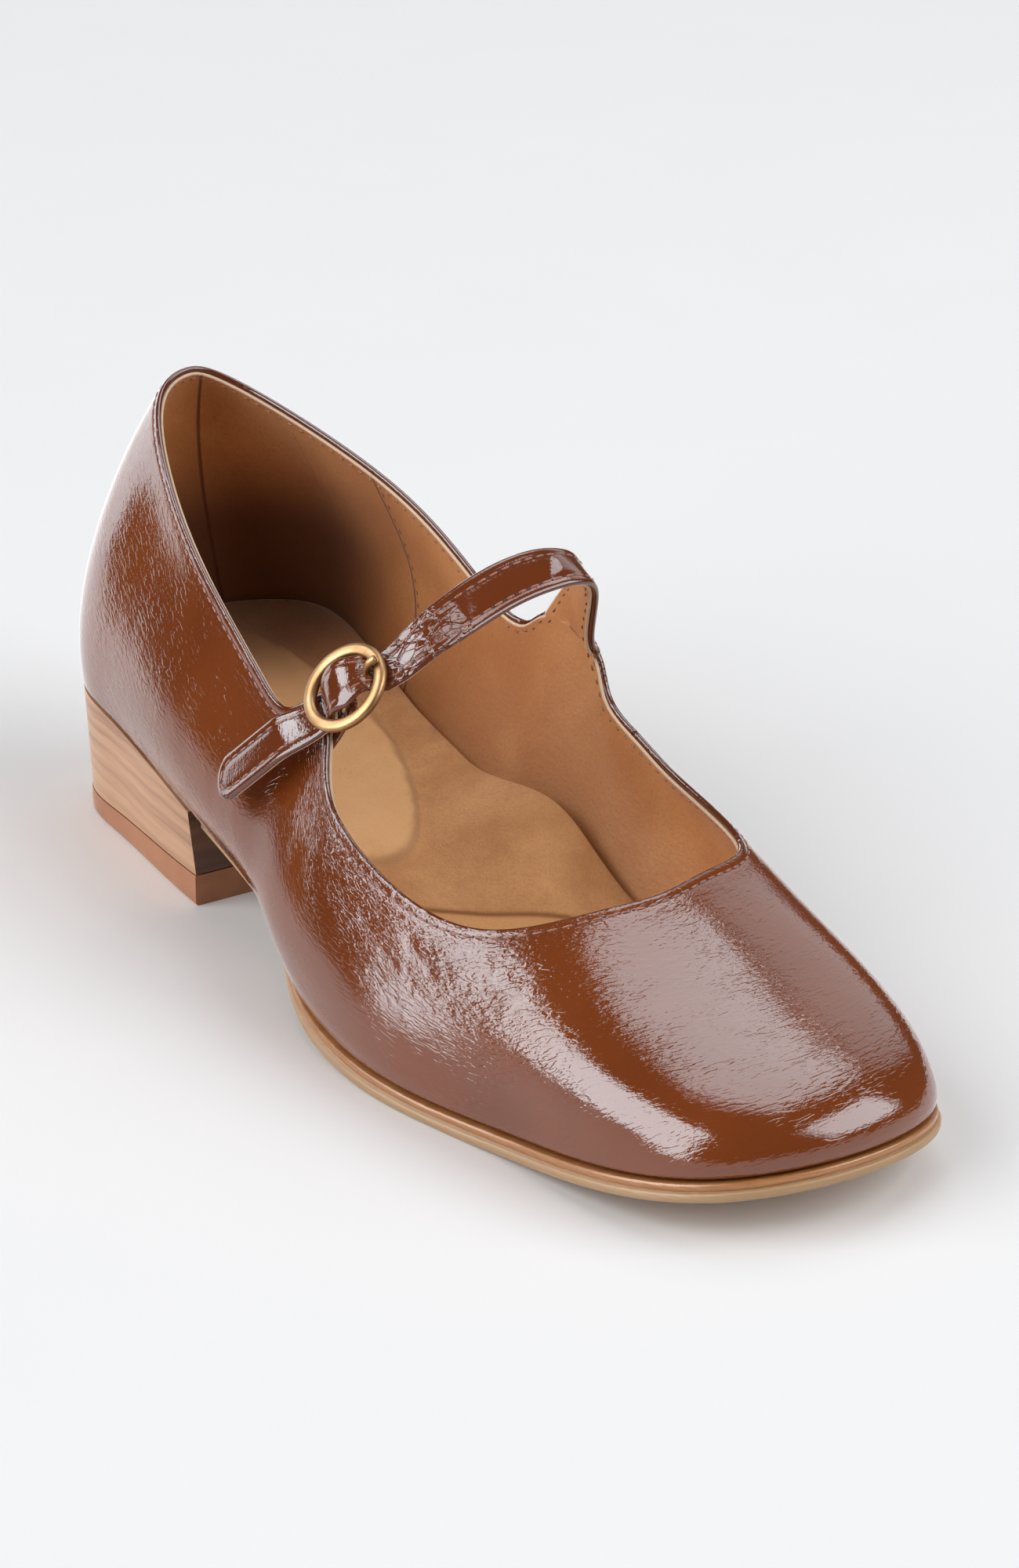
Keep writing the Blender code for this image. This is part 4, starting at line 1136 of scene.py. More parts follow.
def make_welt():
    """The upper step of the sole's edge: waxed and burnished."""
    n = Nodes("sole_welt")
    streak = n.noise(n.place("Object", (0.25, 0.25, 3)), detail=3.0)
    colour = n.mix(n.step(streak, 0.3, 0.75), *WELT)
    return n.set(colour, 0.28, n.bump(n.times(streak, 0.08)), Specular_IOR_Level=0.6)


def make_sole_edge():
    """The lower step of the sole's edge: khaki, cut and lightly sanded."""
    n = Nodes("sole_edge")
    streak = n.noise(n.place("Object", (0.12, 0.12, 4)), detail=4.0, roughness=0.6)
    patch = n.noise(n.place("Object"), scale=0.12)
    colour = n.mix(n.step(streak, 0.3, 0.75), *SOLE_EDGE)
    colour = n.mix(n.step(patch, 0.55, 0.75, 0.0, 0.25), colour, SOLE_EDGE_PATCH)
    return n.set(colour, 0.5, n.bump(n.times(streak, 0.1)))


def make_tread():
    """The sole's tread: tan leather board with a fine pebble and faint scuffs."""
    n = Nodes("sole_tread")
    space = n.place("Object")
    pebble = n.cells(space, scale=0.9)
    cloud = n.noise(space, scale=0.05, detail=4.0)
    scuff = n.noise(n.place("Object", (0.5, 0.06, 1), turn=(0, 0, 0.3)), detail=4.0)
    colour = n.mix(n.step(cloud, 0.3, 0.7), *TREAD)
    colour = n.mix(n.step(scuff, 0.6, 0.75, 0.0, 0.35), colour, TREAD_SCUFF)
    return n.set(colour, 0.7, n.bump(n.times(pebble, 0.1)))


def make_stack(name, shades, layer):
    """Stacked leather: wavy layers of three shades, level with the lift's upper face."""
    n = Nodes(name)
    dark, middle, light = shades
    tilt = math.atan((LIFT_AT_BREAST - LIFT_AT_BACK) / BREAST_STATION)
    wave = n.noise(n.place("Object", (0.035, 0.035, 0.05)))
    level = n.place("Object", (0.01, 0.01, 1 / layer), turn=(-tilt, 0, 0))
    shift = n.add("CombineXYZ", {"Z": n.times(wave, 1.1)}).outputs[0]
    level = n.add("VectorMath", {0: level, 1: shift}, operation="ADD").outputs[0]
    bands = n.noise(level, detail=3.0, roughness=0.55)
    fibre = n.noise(n.place("Object", (0.09, 0.09, 2.4), turn=(-tilt, 0, 0)), detail=4.0, roughness=0.65)
    colour = n.mix(n.step(bands, 0.36, 0.52), dark, middle)
    colour = n.mix(n.step(bands, 0.5, 0.64), colour, light)
    colour = n.mix(n.step(fibre, 0.5, 0.78, 0.0, 0.45), colour, dark)
    return n.set(colour, 0.42, n.bump(n.times(fibre, 0.06)), Specular_IOR_Level=0.45)


def make_rubber():
    """The top lift: orange-brown rubber, a little mottled."""
    n = Nodes("lift_rubber")
    space = n.place("Object")
    speck = n.noise(space, scale=1.8, detail=3.0)
    cloud = n.noise(space, scale=0.08, detail=3.0)
    colour = n.mix(n.step(cloud, 0.3, 0.7), *RUBBER)
    colour = n.mix(n.step(speck, 0.55, 0.75, 0.0, 0.3), colour, RUBBER_SPECK)
    return n.set(colour, 0.45, n.bump(n.times(speck, 0.04)))


def make_brass():
    """Aged brass, softly brushed."""
    n = Nodes("aged_brass")
    space = n.place("Object")
    brush = n.noise(n.place("Object", (3.5, 3.5, 0.8)), detail=4.0, roughness=0.7)
    tarnish = n.noise(space, scale=0.22, detail=4.0)
    colour = n.mix(n.step(tarnish, 0.35, 0.7), *BRASS)
    return n.set(colour, 0.4, n.bump(n.times(brush, 0.025)), Metallic=1.0)


def make_thread():
    """Twisted thread, a little glossy."""
    n = Nodes("upper_thread")
    twist = n.noise(n.place("Object", (4, 4, 4)))
    colour = n.mix(n.step(twist, 0.35, 0.65), *THREAD)
    return n.set(colour, 0.4, n.bump(n.times(twist, 0.12)), Specular_IOR_Level=0.6, Sheen_Weight=0.2)


def make_hole_shade():
    """The painted shade inside a needle hole."""
    n = Nodes("needle_hole")
    speck = n.noise(n.place("Object", (3, 3, 3)))
    return n.set(n.mix(speck, *NEEDLE_HOLE_SHADE), 0.7)


# ---- the pieces

def place_of_row(row, share=0.0):
    """The distance round the shoe of a row of the upper's table, or of a place on the way to the next."""
    return ROUNDS[row] + (ROUNDS[row + 1] - ROUNDS[row]) * share


STRAP_ROOT = place_of_row(STRAP_FIRST_ROW, 0.5)


def edge_relief(distance):
    """Stitching presses a soft groove, and the leather swells between it and the edge."""
    depth, groove_width = STITCH_GROOVE
    height, swell_width = EDGE_SWELL
    groove = -depth * np.exp(-((distance - STITCH_INSET) / groove_width) ** 2)
    return groove + height * np.exp(-((distance - STITCH_INSET / 2) / swell_width) ** 2)


STRAP_CREASES = (  # two ends, each as way across the strap and way before the ring; depth, width, name
    ((-4.6, 26.0), (4.4, 29.5), 0.30, 0.9, "where the crumpled part ends"),
    ((-1.0, 9.5), (-4.2, 17.5), 0.18, 0.7, "from the prong to the front edge"),
    ((-0.4, 10.5), (-1.6, 22.0), 0.20, 0.7, "from the prong along the strap"),
    ((0.6, 10.0), (1.9, 20.5), 0.18, 0.7, "beside it"),
    ((1.4, 9.8), (4.4, 16.5), 0.16, 0.7, "from the prong to the rear edge"),
    ((-4.6, 19.0), (-0.6, 21.5), 0.16, 0.7, "front cell"),
    ((0.8, 17.5), (4.6, 21.0), 0.16, 0.7, "rear cell"),
    ((-3.6, 47.0), (3.8, 52.5), 0.26, 1.1, "across the turn"),
    ((-3.8, 50.5), (3.0, 55.5), -0.16, 1.3, "ridge behind it"),
)
WALL_CREASES = (  # two ends, each as distance round the shoe and down; depth, width, name
    ((186.0, 7.0), (199.0, 13.0), 0.20, 1.8, "outer vamp, first flex fold"),
    ((196.0, 5.0), (212.0, 12.5), -0.18, 2.0, "ridge behind it"),
    ((205.0, 9.0), (219.0, 17.0), 0.20, 1.8, "second flex fold"),
    ((213.0, 6.0), (228.0, 14.0), 0.16, 2.0, "third flex fold"),
    ((170.0, 9.0), (186.0, 17.0), 0.14, 2.0, "outer waist"),
    ((104.0, 12.0), (99.0, 36.0), 0.16, 2.2, "outer quarter, above the breast"),
    ((112.0, 10.0), (109.0, 33.0), -0.14, 2.6, "ridge beside it"),
    ((92.0, 16.0), (84.0, 34.0), 0.12, 2.2, "outer quarter, behind it"),
    ((318.0, 8.0), (304.0, 16.0), 0.16, 2.0, "inner vamp, first flex fold"),
    ((331.0, 9.0), (316.0, 18.0), 0.16, 2.0, "inner vamp, second flex fold"),
    ((386.0, 3.0), (376.0, 20.0), 0.18, 1.8, "from the strap's root forwards"),
    ((391.0, 4.0), (387.0, 25.0), 0.18, 1.8, "beside it"),
    ((397.0, 4.0), (398.0, 27.0), 0.18, 1.8, "straight down"),
    ((403.0, 4.0), (410.0, 24.0), 0.18, 1.8, "backwards"),
    ((408.0, 3.0), (421.0, 17.0), 0.16, 1.8, "furthest back"),
)


def upper_relief(sheet, distance):
    """How far each point of the sheet is pushed out, in mm: along its edges and in its main creases."""
    relief = edge_relief(distance)
    rounds, up = sheet.flat.T
    on_strap = np.stack([rounds - STRAP_ROOT, BUCKLE_ALONG - up], 1)
    on_wall = np.stack([rounds, -up], 1)
    for creases, flat, here in ((STRAP_CREASES, on_strap, up > 0), (WALL_CREASES, on_wall, up <= 0)):
        for start, end, depth, width, _ in creases:
            relief = relief - np.where(here, crease_depth(flat, start, end, depth, width), 0)
    return relief


CRINKLE_ROWS = (  # amount, round, reach, down, down_reach, name
    (0.10, 258, 400, 0, 90, "everywhere"),
    (0.20, 258, 400, 0, 9, "along the topline"),
    (0.52, 205, 52, 14, 28, "outer vamp"),
    (0.25, 205, 70, 38, 30, "outer vamp, low"),
    (0.45, 150, 40, 10, 22, "outer waist"),
    (0.08, 262, 60, 26, 45, "top of the vamp"),
    (0.18, 275, 45, 52, 26, "vamp, above the toe"),
    (0.28, 60, 75, 30, 45, "outer quarter"),
    (0.45, 395, 45, 16, 40, "below the strap's root"),
    (0.30, 345, 45, 20, 30, "inner vamp"),
    (0.22, 258, 90, 78, 40, "toe"),
)
STRAP_CRINKLE = 0.06
CRUMPLED = (2, 6, 20, 30)  # before the ring: where the crumpled part of the strap starts and ends, softly
ROOT_CRUMPLE = (0.3, 28, 4, 16)  # amount, reach round, middle and reach down: below the strap's root


def crinkle_amount(sheet):
    """How strongly the patent leather is crinkled at each point."""
    rounds, up = sheet.flat.T
    amount = np.zeros(len(rounds))
    for most, place, reach, down, down_reach, _ in CRINKLE_ROWS:
        amount += most * smooth_bump(rounds - place, reach) * smooth_bump(up + down, down_reach)
    return np.where(up > 0, STRAP_CRINKLE, amount)


def crumple_amount(sheet):
    """How strongly the leather is crumpled into cells: beside the ring and below the strap's root."""
    rounds, up = sheet.flat.T
    before_ring = BUCKLE_ALONG - up
    beside = smooth_step(before_ring, *CRUMPLED[:2]) * (1 - smooth_step(before_ring, *CRUMPLED[2:]))
    most, reach, down, down_reach = ROOT_CRUMPLE
    below = most * smooth_bump(rounds - STRAP_ROOT, reach) * smooth_bump(up + down, down_reach)
    return np.where(up > 1, beside, below)


# The seam between vamp and inner quarter, from the topline down, as distance round and height.
VAMP_SEAM = ((place_of_row(16, -0.05), 0.0), (place_of_row(17, 0.6), -50.0))


def seam_distance(sheet):
    """Signed distance from the seam between vamp and inner quarter, far off everywhere else."""
    across, _ = line_distance(sheet.flat, *VAMP_SEAM)
    on_wall = sheet.flat[:, 1] <= 0.01
    return np.where(on_wall, np.clip(across, -SEAM_FAR, SEAM_FAR), SEAM_FAR)


LINING_SEAM = ((53.0, 80.0), (61.5, 36.0))  # its two ends, as station and height
LINING_SEAM_SIDE = 10.0  # further in than this, on the inner side
LINING_SEAM_BARE = 8.0  # its stitches start this far below its top end
LINING_SEAM_STITCHES = 1.3  # and lie this far in front of it
HEEL_GRIP = ((3.5, 93.0), (9.0, 50.0))  # the edge of the heel grip at the back, as side and height
HEEL_GRIP_END = 30.0  # it has ended by this station
HEEL_GRIP_SIDE = -5.0  # further in than this
# The lining's painted shade: darker in the heel's depth.
LINING_SHADE_STATIONS = (24.0, 58.0)  # between these the lining darkens towards the back,
LINING_SHADE_HEIGHTS = (52.0, 74.0)  # and between these downwards


def lining_seams(points):
    """Distance from the lining's side seam or from the edge of its heel grip, whichever is nearer."""
    station, side, height = station_side_height(points)
    across, _ = line_distance(np.stack([station, height], 1), *LINING_SEAM)
    across = np.where(side > LINING_SEAM_SIDE, across, SEAM_FAR)
    grip, _ = line_distance(np.stack([side, height], 1), *HEEL_GRIP)
    grip = np.where((station < HEEL_GRIP_END) & (side > HEEL_GRIP_SIDE), grip, SEAM_FAR)
    return np.where(np.abs(across) < np.abs(grip), across, grip)


def lining_worn(points):
    """How dark the lining is painted in the heel's depth: painted shade."""
    station, _, height = station_side_height(points)
    behind = 1 - smooth_step(station, *LINING_SHADE_STATIONS)
    return behind * (1 - smooth_step(height, *LINING_SHADE_HEIGHTS))


def seam_frames(sheet, depth):
    """Where each stitch of the lining's side seam lies, at this depth below the sheet."""
    surface = surface_of(sheet)
    station, side, height = station_side_height(sheet.points)
    on_side = side > LINING_SEAM_SIDE
    inner = sheet.points[on_side]
    plane = np.stack([station[on_side], height[on_side]], 1)
    start, end = np.array(LINING_SEAM, float)
    run = unit(end - start)
    frames = []
    for reach in np.arange(LINING_SEAM_BARE, np.linalg.norm(end - start), STITCH_PITCH):
        spot = start + run * reach + np.array([LINING_SEAM_STITCHES, 0])
        nearest = inner[np.argmin(np.linalg.norm(plane - spot, axis=1))]
        guess = (nearest[0], (ORIGIN_STATION - spot[0]) * MM, spot[1] * MM)
        place, out, _, _ = surface.find_nearest(Vector(guess))
        frames.append(stitch_frame(place, out, np.array([0, -run[0], run[1]]), depth))
    return frames


FOOT_SWELL = 0.8  # low on the wall the leather swells out over the sole by this
FOOT_SWELL_HEIGHTS = (1.0, 9.0)  # over the seat: all of it below the first, none above the second


def foot_swell(sheet):
    """How far the leather swells out, level with the floor, where it is lasted over the sole."""
    station, _, height = station_side_height(sheet.points)
    near = 1 - smooth_step(height - seat_height(station), *FOOT_SWELL_HEIGHTS)
    return FOOT_SWELL * near * smooth_step(station, SOLE_TUCK_STATION, SOLE_FULL_STATION)


def pushed(sheet, relief):
    """The sheet with each point pushed out by its relief, and swollen over the sole."""
    normals = vertex_normals(sheet.points, sheet.faces)
    offset = normals * relief[:, None] + normals * (1, 1, 0) * foot_swell(sheet)[:, None]
    return sheet._replace(points=sheet.points + offset * MM)


def make_upper(patent, lining, thread):
    """The upper and its strap: a leather layer, a lining layer and their stitches."""
    sheet = upper_sheet()
    edge = distance_to(sheet.points, sheet.points[sheet.border[0]])
    sheet = pushed(sheet, upper_relief(sheet, edge))
    points, faces, uv, source = skin(sheet, 0, LEATHER, LEATHER_EDGE)
    leather = add_piece("upper_leather", points, faces.tolist(), [patent], uv)
    add_numbers(
        leather, source, edge=np.minimum(edge, EDGE_FAR), crinkle=crinkle_amount(sheet),
        crumple=crumple_amount(sheet), on_strap=smooth_step(sheet.flat[:, 1], 2, STRAP_BLEND),
        seam=seam_distance(sheet),
    )
    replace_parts(leather, "upper")

    inner = upper_sheet(**LINING_GRID, inset=LINING_DROP)
    edge = distance_to(inner.points, inner.points[inner.border[0]])
    points, faces, uv, source = skin(inner, LEATHER, LINING, LINING / 2)
    lined = add_piece("upper_lining", points, faces.tolist(), [lining], uv)
    add_numbers(
        lined, source, edge=np.minimum(edge, EDGE_FAR), seam=lining_seams(inner.points),
        worn=lining_worn(inner.points),
    )
    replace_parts(lined, "upper")

    frames = edge_frames(sheet, 0.0)
    make_stitches("upper_stitches", frames, thread, STITCH_LENGTH, THREAD_WIDTH)
    make_needle_holes(frames, make_hole_shade())
    frames = edge_frames(sheet, LINING_THREAD_DEPTH)
    make_stitches("lining_stitches", frames, thread, *LINING_STITCH)
    frames = seam_frames(sheet, LINING_THREAD_DEPTH)
    make_stitches("lining_seam_stitches", frames, thread, *LINING_STITCH, "insole_suede")


# ---- soles and heel

def at_share(outline, share):
    """An outline of (station, side) with this share of the way up as its height, for bend to place."""
    return np.column_stack([outline, np.full(len(outline), share)])


def edge_places(breast, of_heel, count):
    """Places round the shoe behind the breast line, for the heel, or in front of it, for the sole."""
    dense = np.linspace(0, WHOLE_ROUND, SEARCH_STEPS, endpoint=False)
    station = upper_lines(dense)["edge_station"]
    crossings = dense[np.flatnonzero(np.diff(np.sign(station - breast)))]
    outer, inner = crossings.min(), crossings.max()
    if of_heel:
        return np.linspace(inner, outer + WHOLE_ROUND, count)
    return np.linspace(outer, inner, count)


def sole_underside(station):
    """Height of the outsole's tread. It lies flat on the floor below the ball of the foot."""
    return np.maximum(seat_height(station) - SOLE_THICKNESS, 0)


def make_outsole(welt, edge, tread):
    """The outsole from the heel's breast to the toe, with the two steps of its edge."""
    places = edge_places(BREAST_STATION + GAP, of_heel=False, count=SOLE_STEPS)
    station = upper_lines(places)["edge_station"]
    shown = smooth_step(station, SOLE_TUCK_STATION, SOLE_FULL_STATION)
    rows = SOLE_EDGE_ROWS[::-1]
    loops = []
    for out, down, _ in rows:
        outline = outline_at(places, out * shown - SOLE_TUCK * (1 - shown))
        outline[[0, -1], 0] = BREAST_STATION + 2 * GAP
        loops.append(at_share(outline, 1 - down))
    slot_of = {"welt": 0, "edge": 1, "tread": 2}
    below = [slot_of[stretch] for _, _, stretch in rows]  # the material below each row
    bm = slab(
        loops, SOLE_CUTS, range(-30, 31, 10),
        slots=lambda band, i: below[band + 1], end_slots=(below[0], 0),
    )

    def height_at(stations, sides, share):
        top = seat_height(stations)
        bottom = sole_underside(stations)
        return bottom + (top - bottom) * share

    bend(bm, height_at)
    finish_slab("outsole_leather", bm, [welt, edge, tread], "outsole")


def lift_top(station):
    """Height of the wedge-shaped top lift's upper face."""
    share = station / BREAST_STATION
    return LIFT_AT_BACK + (LIFT_AT_BREAST - LIFT_AT_BACK) * share


def heel_outline(outset, breast):
    """The heel's outline, this far out of the feather edge, with its straight front at breast."""
    places = edge_places(BREAST_STATION, of_heel=True, count=HEEL_STEPS)
    outline = outline_at(places, outset)
    outline[[0, -1], 0] = breast
    return outline


def make_heel_block(stacked, painted_shade_breast):
    """The stacked heel block: D-shaped, its top bent to the seat and its foot a little drawn in."""
    loops = []
    for share in np.linspace(0, 1, HEEL_BANDS + 1):
        draw_in = HEEL_DRAW_IN + (HEEL_TOP_DRAW_IN - HEEL_DRAW_IN) * share
        outline = heel_outline(-draw_in, BREAST_STATION + BREAST_SLOPE * (1 - share))
        loops.append(at_share(outline, share))
    breast = len(outline) - 1  # the last face of each band is the breast's
    # the breast's faces take the layers painted darker, as shade
    bm = slab(loops, HEEL_CUTS, slots=lambda band, i: int(i == breast))

    def height_at(stations, sides, share):
        bottom = lift_top(stations) + GAP
        return bottom + (seat_height(stations) - bottom) * share

    bend(bm, height_at)
    finish_slab("heel_stack", bm, [stacked, painted_shade_breast], "heel_block")


def make_heel_lift(rubber):
    """The rubber top lift under the heel, its walking edge slightly rounded."""
    breast = BREAST_STATION + BREAST_SLOPE
    loops = [
        at_share(heel_outline(-LIFT_DRAW_IN - inset, breast), up) for inset, up in LIFT_EDGE_ROWS
    ]
    bm = slab(loops, HEEL_CUTS)
    bend(bm, lambda stations, sides, share: lift_top(stations) * share)
    finish_slab("heel_top_lift", bm, [rubber], "heel_lift")


# ---- the insole

def heel_pad_share(stations, sides):
    """1 on the oval heel pad and 0 off it, with a soft edge."""
    ahead = (stations - HEEL_PAD_STATION) / (HEEL_PAD_LENGTH / 2)
    aside = (sides - HEEL_PAD_SIDE) / (HEEL_PAD_WIDTH / 2)
    return 1 - smooth_step(np.hypot(ahead, aside), *HEEL_PAD_EDGE)


def sock_share(stations, sides):
    """1 on the suede sock and 0 in front of its end."""
    end = SOCK_END_STATION + SOCK_END_SLANT * sides
    return 1 - smooth_step(stations - end, -SOCK_END_SOFT, SOCK_END_SOFT)


def insole_rise(stations, sides):
    """The insole's own relief: a raised arch on the inner side, a heel cup and a ball pad."""
    height = np.zeros(len(stations))
    for rise, station, reach, side, side_reach, _ in RELIEF_ROWS:
        height += rise * smooth_bump(stations - station, reach) * smooth_bump(sides - side, side_reach)
    return height


def make_insole(suede):
    """The insole: a moulded footbed with a suede sock, a smooth heel pad and a bare front."""
    places = np.linspace(0, WHOLE_ROUND, INSOLE_STEPS, endpoint=False)
    base = GAP + UPPER_WALL + INSOLE_BED_GAP
    line = upper_lines(places)
    flare = ARCH_FLARE * smooth_bump(line["edge_station"] - ARCH_STATION, ARCH_REACH)
    flare = np.where(line["edge_side"] > 0, flare, 0)
    loops = [at_share(outline_at(places, flare * up - inset), up) for inset, up in INSOLE_EDGE_ROWS]
    sock_end = [(SOCK_END_STATION + step, SOCK_END_SLANT) for step in SOCK_END_STEPS]
    bm = slab(loops, *INSOLE_CUTS, slanted=sock_end)

    def height_at(stations, sides, share):
        edge = seat_height(stations) + base
        relief = insole_rise(stations, sides)
        relief += HEEL_PAD_RISE * heel_pad_share(stations, sides)
        relief -= SOCK_RISE * (1 - sock_share(stations, sides))
        return edge + (INSOLE_THICKNESS + relief) * share

    bend(bm, height_at)
    insole = finish_slab("insole_sock", bm, [suede], "insole", sharp_angle=70)
    stations, sides, _ = station_side_height([vert.co for vert in insole.data.vertices])
    add_numbers(
        insole, slice(None), pad=heel_pad_share(stations, sides), sock=sock_share(stations, sides),
        worn=HEEL_SHADE_MOST * (1 - smooth_step(stations, *HEEL_SHADE)),
    )


# ---- the buckle

def in_buckle(points):
    """Scene points of points in mm: X along the strap from the ring's middle, Y across and Z out."""
    middle, direction, _, face = strap_frame(np.array([BUCKLE_ALONG]))
    direction, face = [np.array([v[0, 1], -v[0, 0], v[0, 2]]) for v in (direction, face)]
    axes = np.stack([direction, np.cross(face, direction), face])
    return to_world(middle)[0] + np.asarray(points, float) @ axes * MM


def make_ring(brass):
    """The buckle's round ring, its section a rounded oval, and its centre bar."""
    turn = np.linspace(0, 2 * math.pi, RING_STEPS, endpoint=False)[:, None]
    angle = np.linspace(0, 2 * math.pi, SECTION_STEPS, endpoint=False)[None]
    flatten = 0.86  # squares the oval section a little
    wide = np.sign(np.cos(angle)) * np.abs(np.cos(angle)) ** flatten * RING_HALF_WIDTH
    deep = np.sign(np.sin(angle)) * np.abs(np.sin(angle)) ** flatten * RING_HALF_DEPTH
    radius = RING_RADIUS + wide
    grid = np.stack([radius * np.cos(turn), radius * np.sin(turn), deep + 0 * turn], -1)
    faces = grid_quads(*grid.shape[:2], round_rows=True, round_columns=True).tolist()
    ring = add_piece("buckle_hoop", in_buckle(grid.reshape(-1, 3)), faces, [brass])
    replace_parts(ring, "buckle_ring")

    reach = np.linspace(-RING_RADIUS, RING_RADIUS, BAR_STEPS)
    drop = BAR_DROP * smooth_step(RING_RADIUS - np.abs(reach), 0, BAR_SHOULDER)
    points, faces = rod(np.stack([reach, 0 * reach, -drop], 1), 2 * BAR_RADIUS)
    across = points[:, [1, 0, 2]] * (-1, 1, 1)
    bar = add_piece("buckle_bar", in_buckle(across), faces, [brass])
    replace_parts(bar, "buckle_ring")


def make_prong(brass):
    """The prong: a round wire hooked round the bar, its end cut square."""
    hook = BAR_RADIUS + GAP + PRONG_RADIUS
    knots = []
    for angle in np.radians(PRONG_HOOK):
        knots.append((hook * math.cos(angle), 0, -BAR_DROP + hook * math.sin(angle)))
    rim = RING_HALF_DEPTH + GAP + PRONG_RADIUS
    knots += [(along, 0, out) for along, out in PRONG_ROWS]
    knots.append((-(RING_RADIUS + PRONG_END), 0, rim))
    knots = np.array(knots, float)
    length = arc_length(knots)
    line = spline(length, knots, np.linspace(0, length[-1], PRONG_STEPS))
    points, faces = rod(line, 2 * PRONG_RADIUS, FLAT_END)
    prong = add_piece("buckle_tongue", in_buckle(points), faces, [brass], sharp_angle=50)
    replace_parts(prong, "buckle_prong")


def make_keeper(patent):
    """The leather keeper that holds the buckle: looped round the bar, then down inside the upper."""
    mid = BAR_RADIUS + GAP + KEEPER_THICKNESS / 2
    angles = np.radians(KEEPER_LOOP)
    loop = np.stack([mid * np.cos(angles), -BAR_DROP + mid * np.sin(angles)], 1)
    line = np.vstack([loop, KEEPER_ROWS])
    length = arc_length(line)
    where = np.linspace(0, length[-1], KEEPER_STEPS)
    line = np.stack([np.interp(where, length, line[:, k]) for k in range(2)], 1)
    along = unit(np.gradient(line, axis=0))
    normal = np.stack([-along[:, 1], along[:, 0]], 1)
    slot_half = PRONG_RADIUS + GAP
    beside = np.array(KEEPER_LANES) * KEEPER_WIDTH / 2
    lanes = np.concatenate([-beside[::-1], (-slot_half, 0, slot_half), beside])
    face = line + normal * KEEPER_THICKNESS / 2
    grid = np.stack([
        np.repeat(face[:, :1], len(lanes), 1),
        np.repeat(lanes[None], len(face), 0),
        np.repeat(face[:, 1:], len(lanes), 1),
    ], -1)
    faces = grid_quads(*grid.shape[:2])
    points = grid.reshape(-1, 3)
    middle = points[faces].mean(1)
    in_slot = (
        (np.abs(middle[:, 1]) < slot_half)
        & (np.abs(middle[:, 0] + SLOT_OFFSET) < SLOT_LENGTH / 2)
        & (np.abs(middle[:, 2] + BAR_DROP) < SLOT_LENGTH / 2)
    )
    faces = faces[~in_slot]
    rim = rim_of(faces)
    flat = points[:, [1, 0]]
    sheet = Sheet(in_buckle(points), faces, flat[faces], flat, (rim, rim[:0]))
    points, faces, uv, source = skin(sheet, 0, KEEPER_THICKNESS, KEEPER_EDGE)
    keeper = add_piece(
        "buckle_keeper_strip", points, faces.tolist(), [patent], uv
    )
    evenly = np.ones(len(flat))
    add_numbers(
        keeper, source, edge=EDGE_FAR * evenly, crinkle=KEEPER_CRINKLE * evenly,
        seam=SEAM_FAR * evenly,
    )
    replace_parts(keeper, "buckle_keeper")


# ---- the floor

# Where the gloss reflects the floor, it is bright near the shoe and dim further off, except towards
# the backdrop, where it is brighter still. All of this shows in the gloss alone.
FLOOR_SIZE = 6.0  # m
FLOOR_FADE = (0.34, 0.6)  # between these distances, in metres, it turns dim
FLOOR_DIM = (0.1, 0.1, 0.1)
FLOOR_GLOW = (0.25, 0.26, 0.27)  # the painted light it gives off, in the gloss alone, where it is bright
FLOOR_LIT = (0.06, 0.42, 0.0, 3.8)  # two distances, and how many times more it gives off at them
FLOOR_PALE = (88, 30, 27.5)  # the backdrop's azimuth, and how far off it that starts and is full


def make_floor():
    """A plain floor of pale paper. In the gloss alone it glows with painted light, most towards the
    backdrop, and further off it is painted dim.
    """
    bpy.ops.mesh.primitive_plane_add(size=FLOOR_SIZE)
    floor = bpy.context.object
    floor.name = "floor"
    n = Nodes("floor_paper")
    speck = n.noise(n.place("Object"), scale=0.02)
    paper = n.mix(speck, *PAPER)
    spot = n.add("TexCoord").outputs["Object"]
    away = n.add("VectorMath", {0: spot}, operation="LENGTH").outputs["Value"]
    way = n.add("VectorMath", {0: spot}, operation="NORMALIZE").outputs[0]
    backdrop = tuple(direction_to(FLOOR_PALE[0], 0))
    towards = n.add("VectorMath", {0: way, 1: backdrop}, operation="DOT_PRODUCT").outputs["Value"]
    outside, inside = [math.cos(math.radians(angle)) for angle in FLOOR_PALE[1:]]
    pale = n.step(towards, outside, inside)
    far = n.times(n.step(away, *FLOOR_FADE), n.math("SUBTRACT", 1.0, pale))
    in_gloss = n.add("LightPath").outputs["Is Glossy Ray"]
    dim = n.times(in_gloss, far)
    brighter = n.times(pale, n.step(away, *FLOOR_LIT))
    glow = n.times(in_gloss, n.math("SUBTRACT", n.math("ADD", brighter, 1.0), far))
    floor.data.materials.append(n.set(
        n.mix(dim, paper, FLOOR_DIM), 0.8, Specular_IOR_Level=0.0,
        Emission_Color=FLOOR_GLOW, Emission_Strength=glow,
    ))


# ---- camera and light

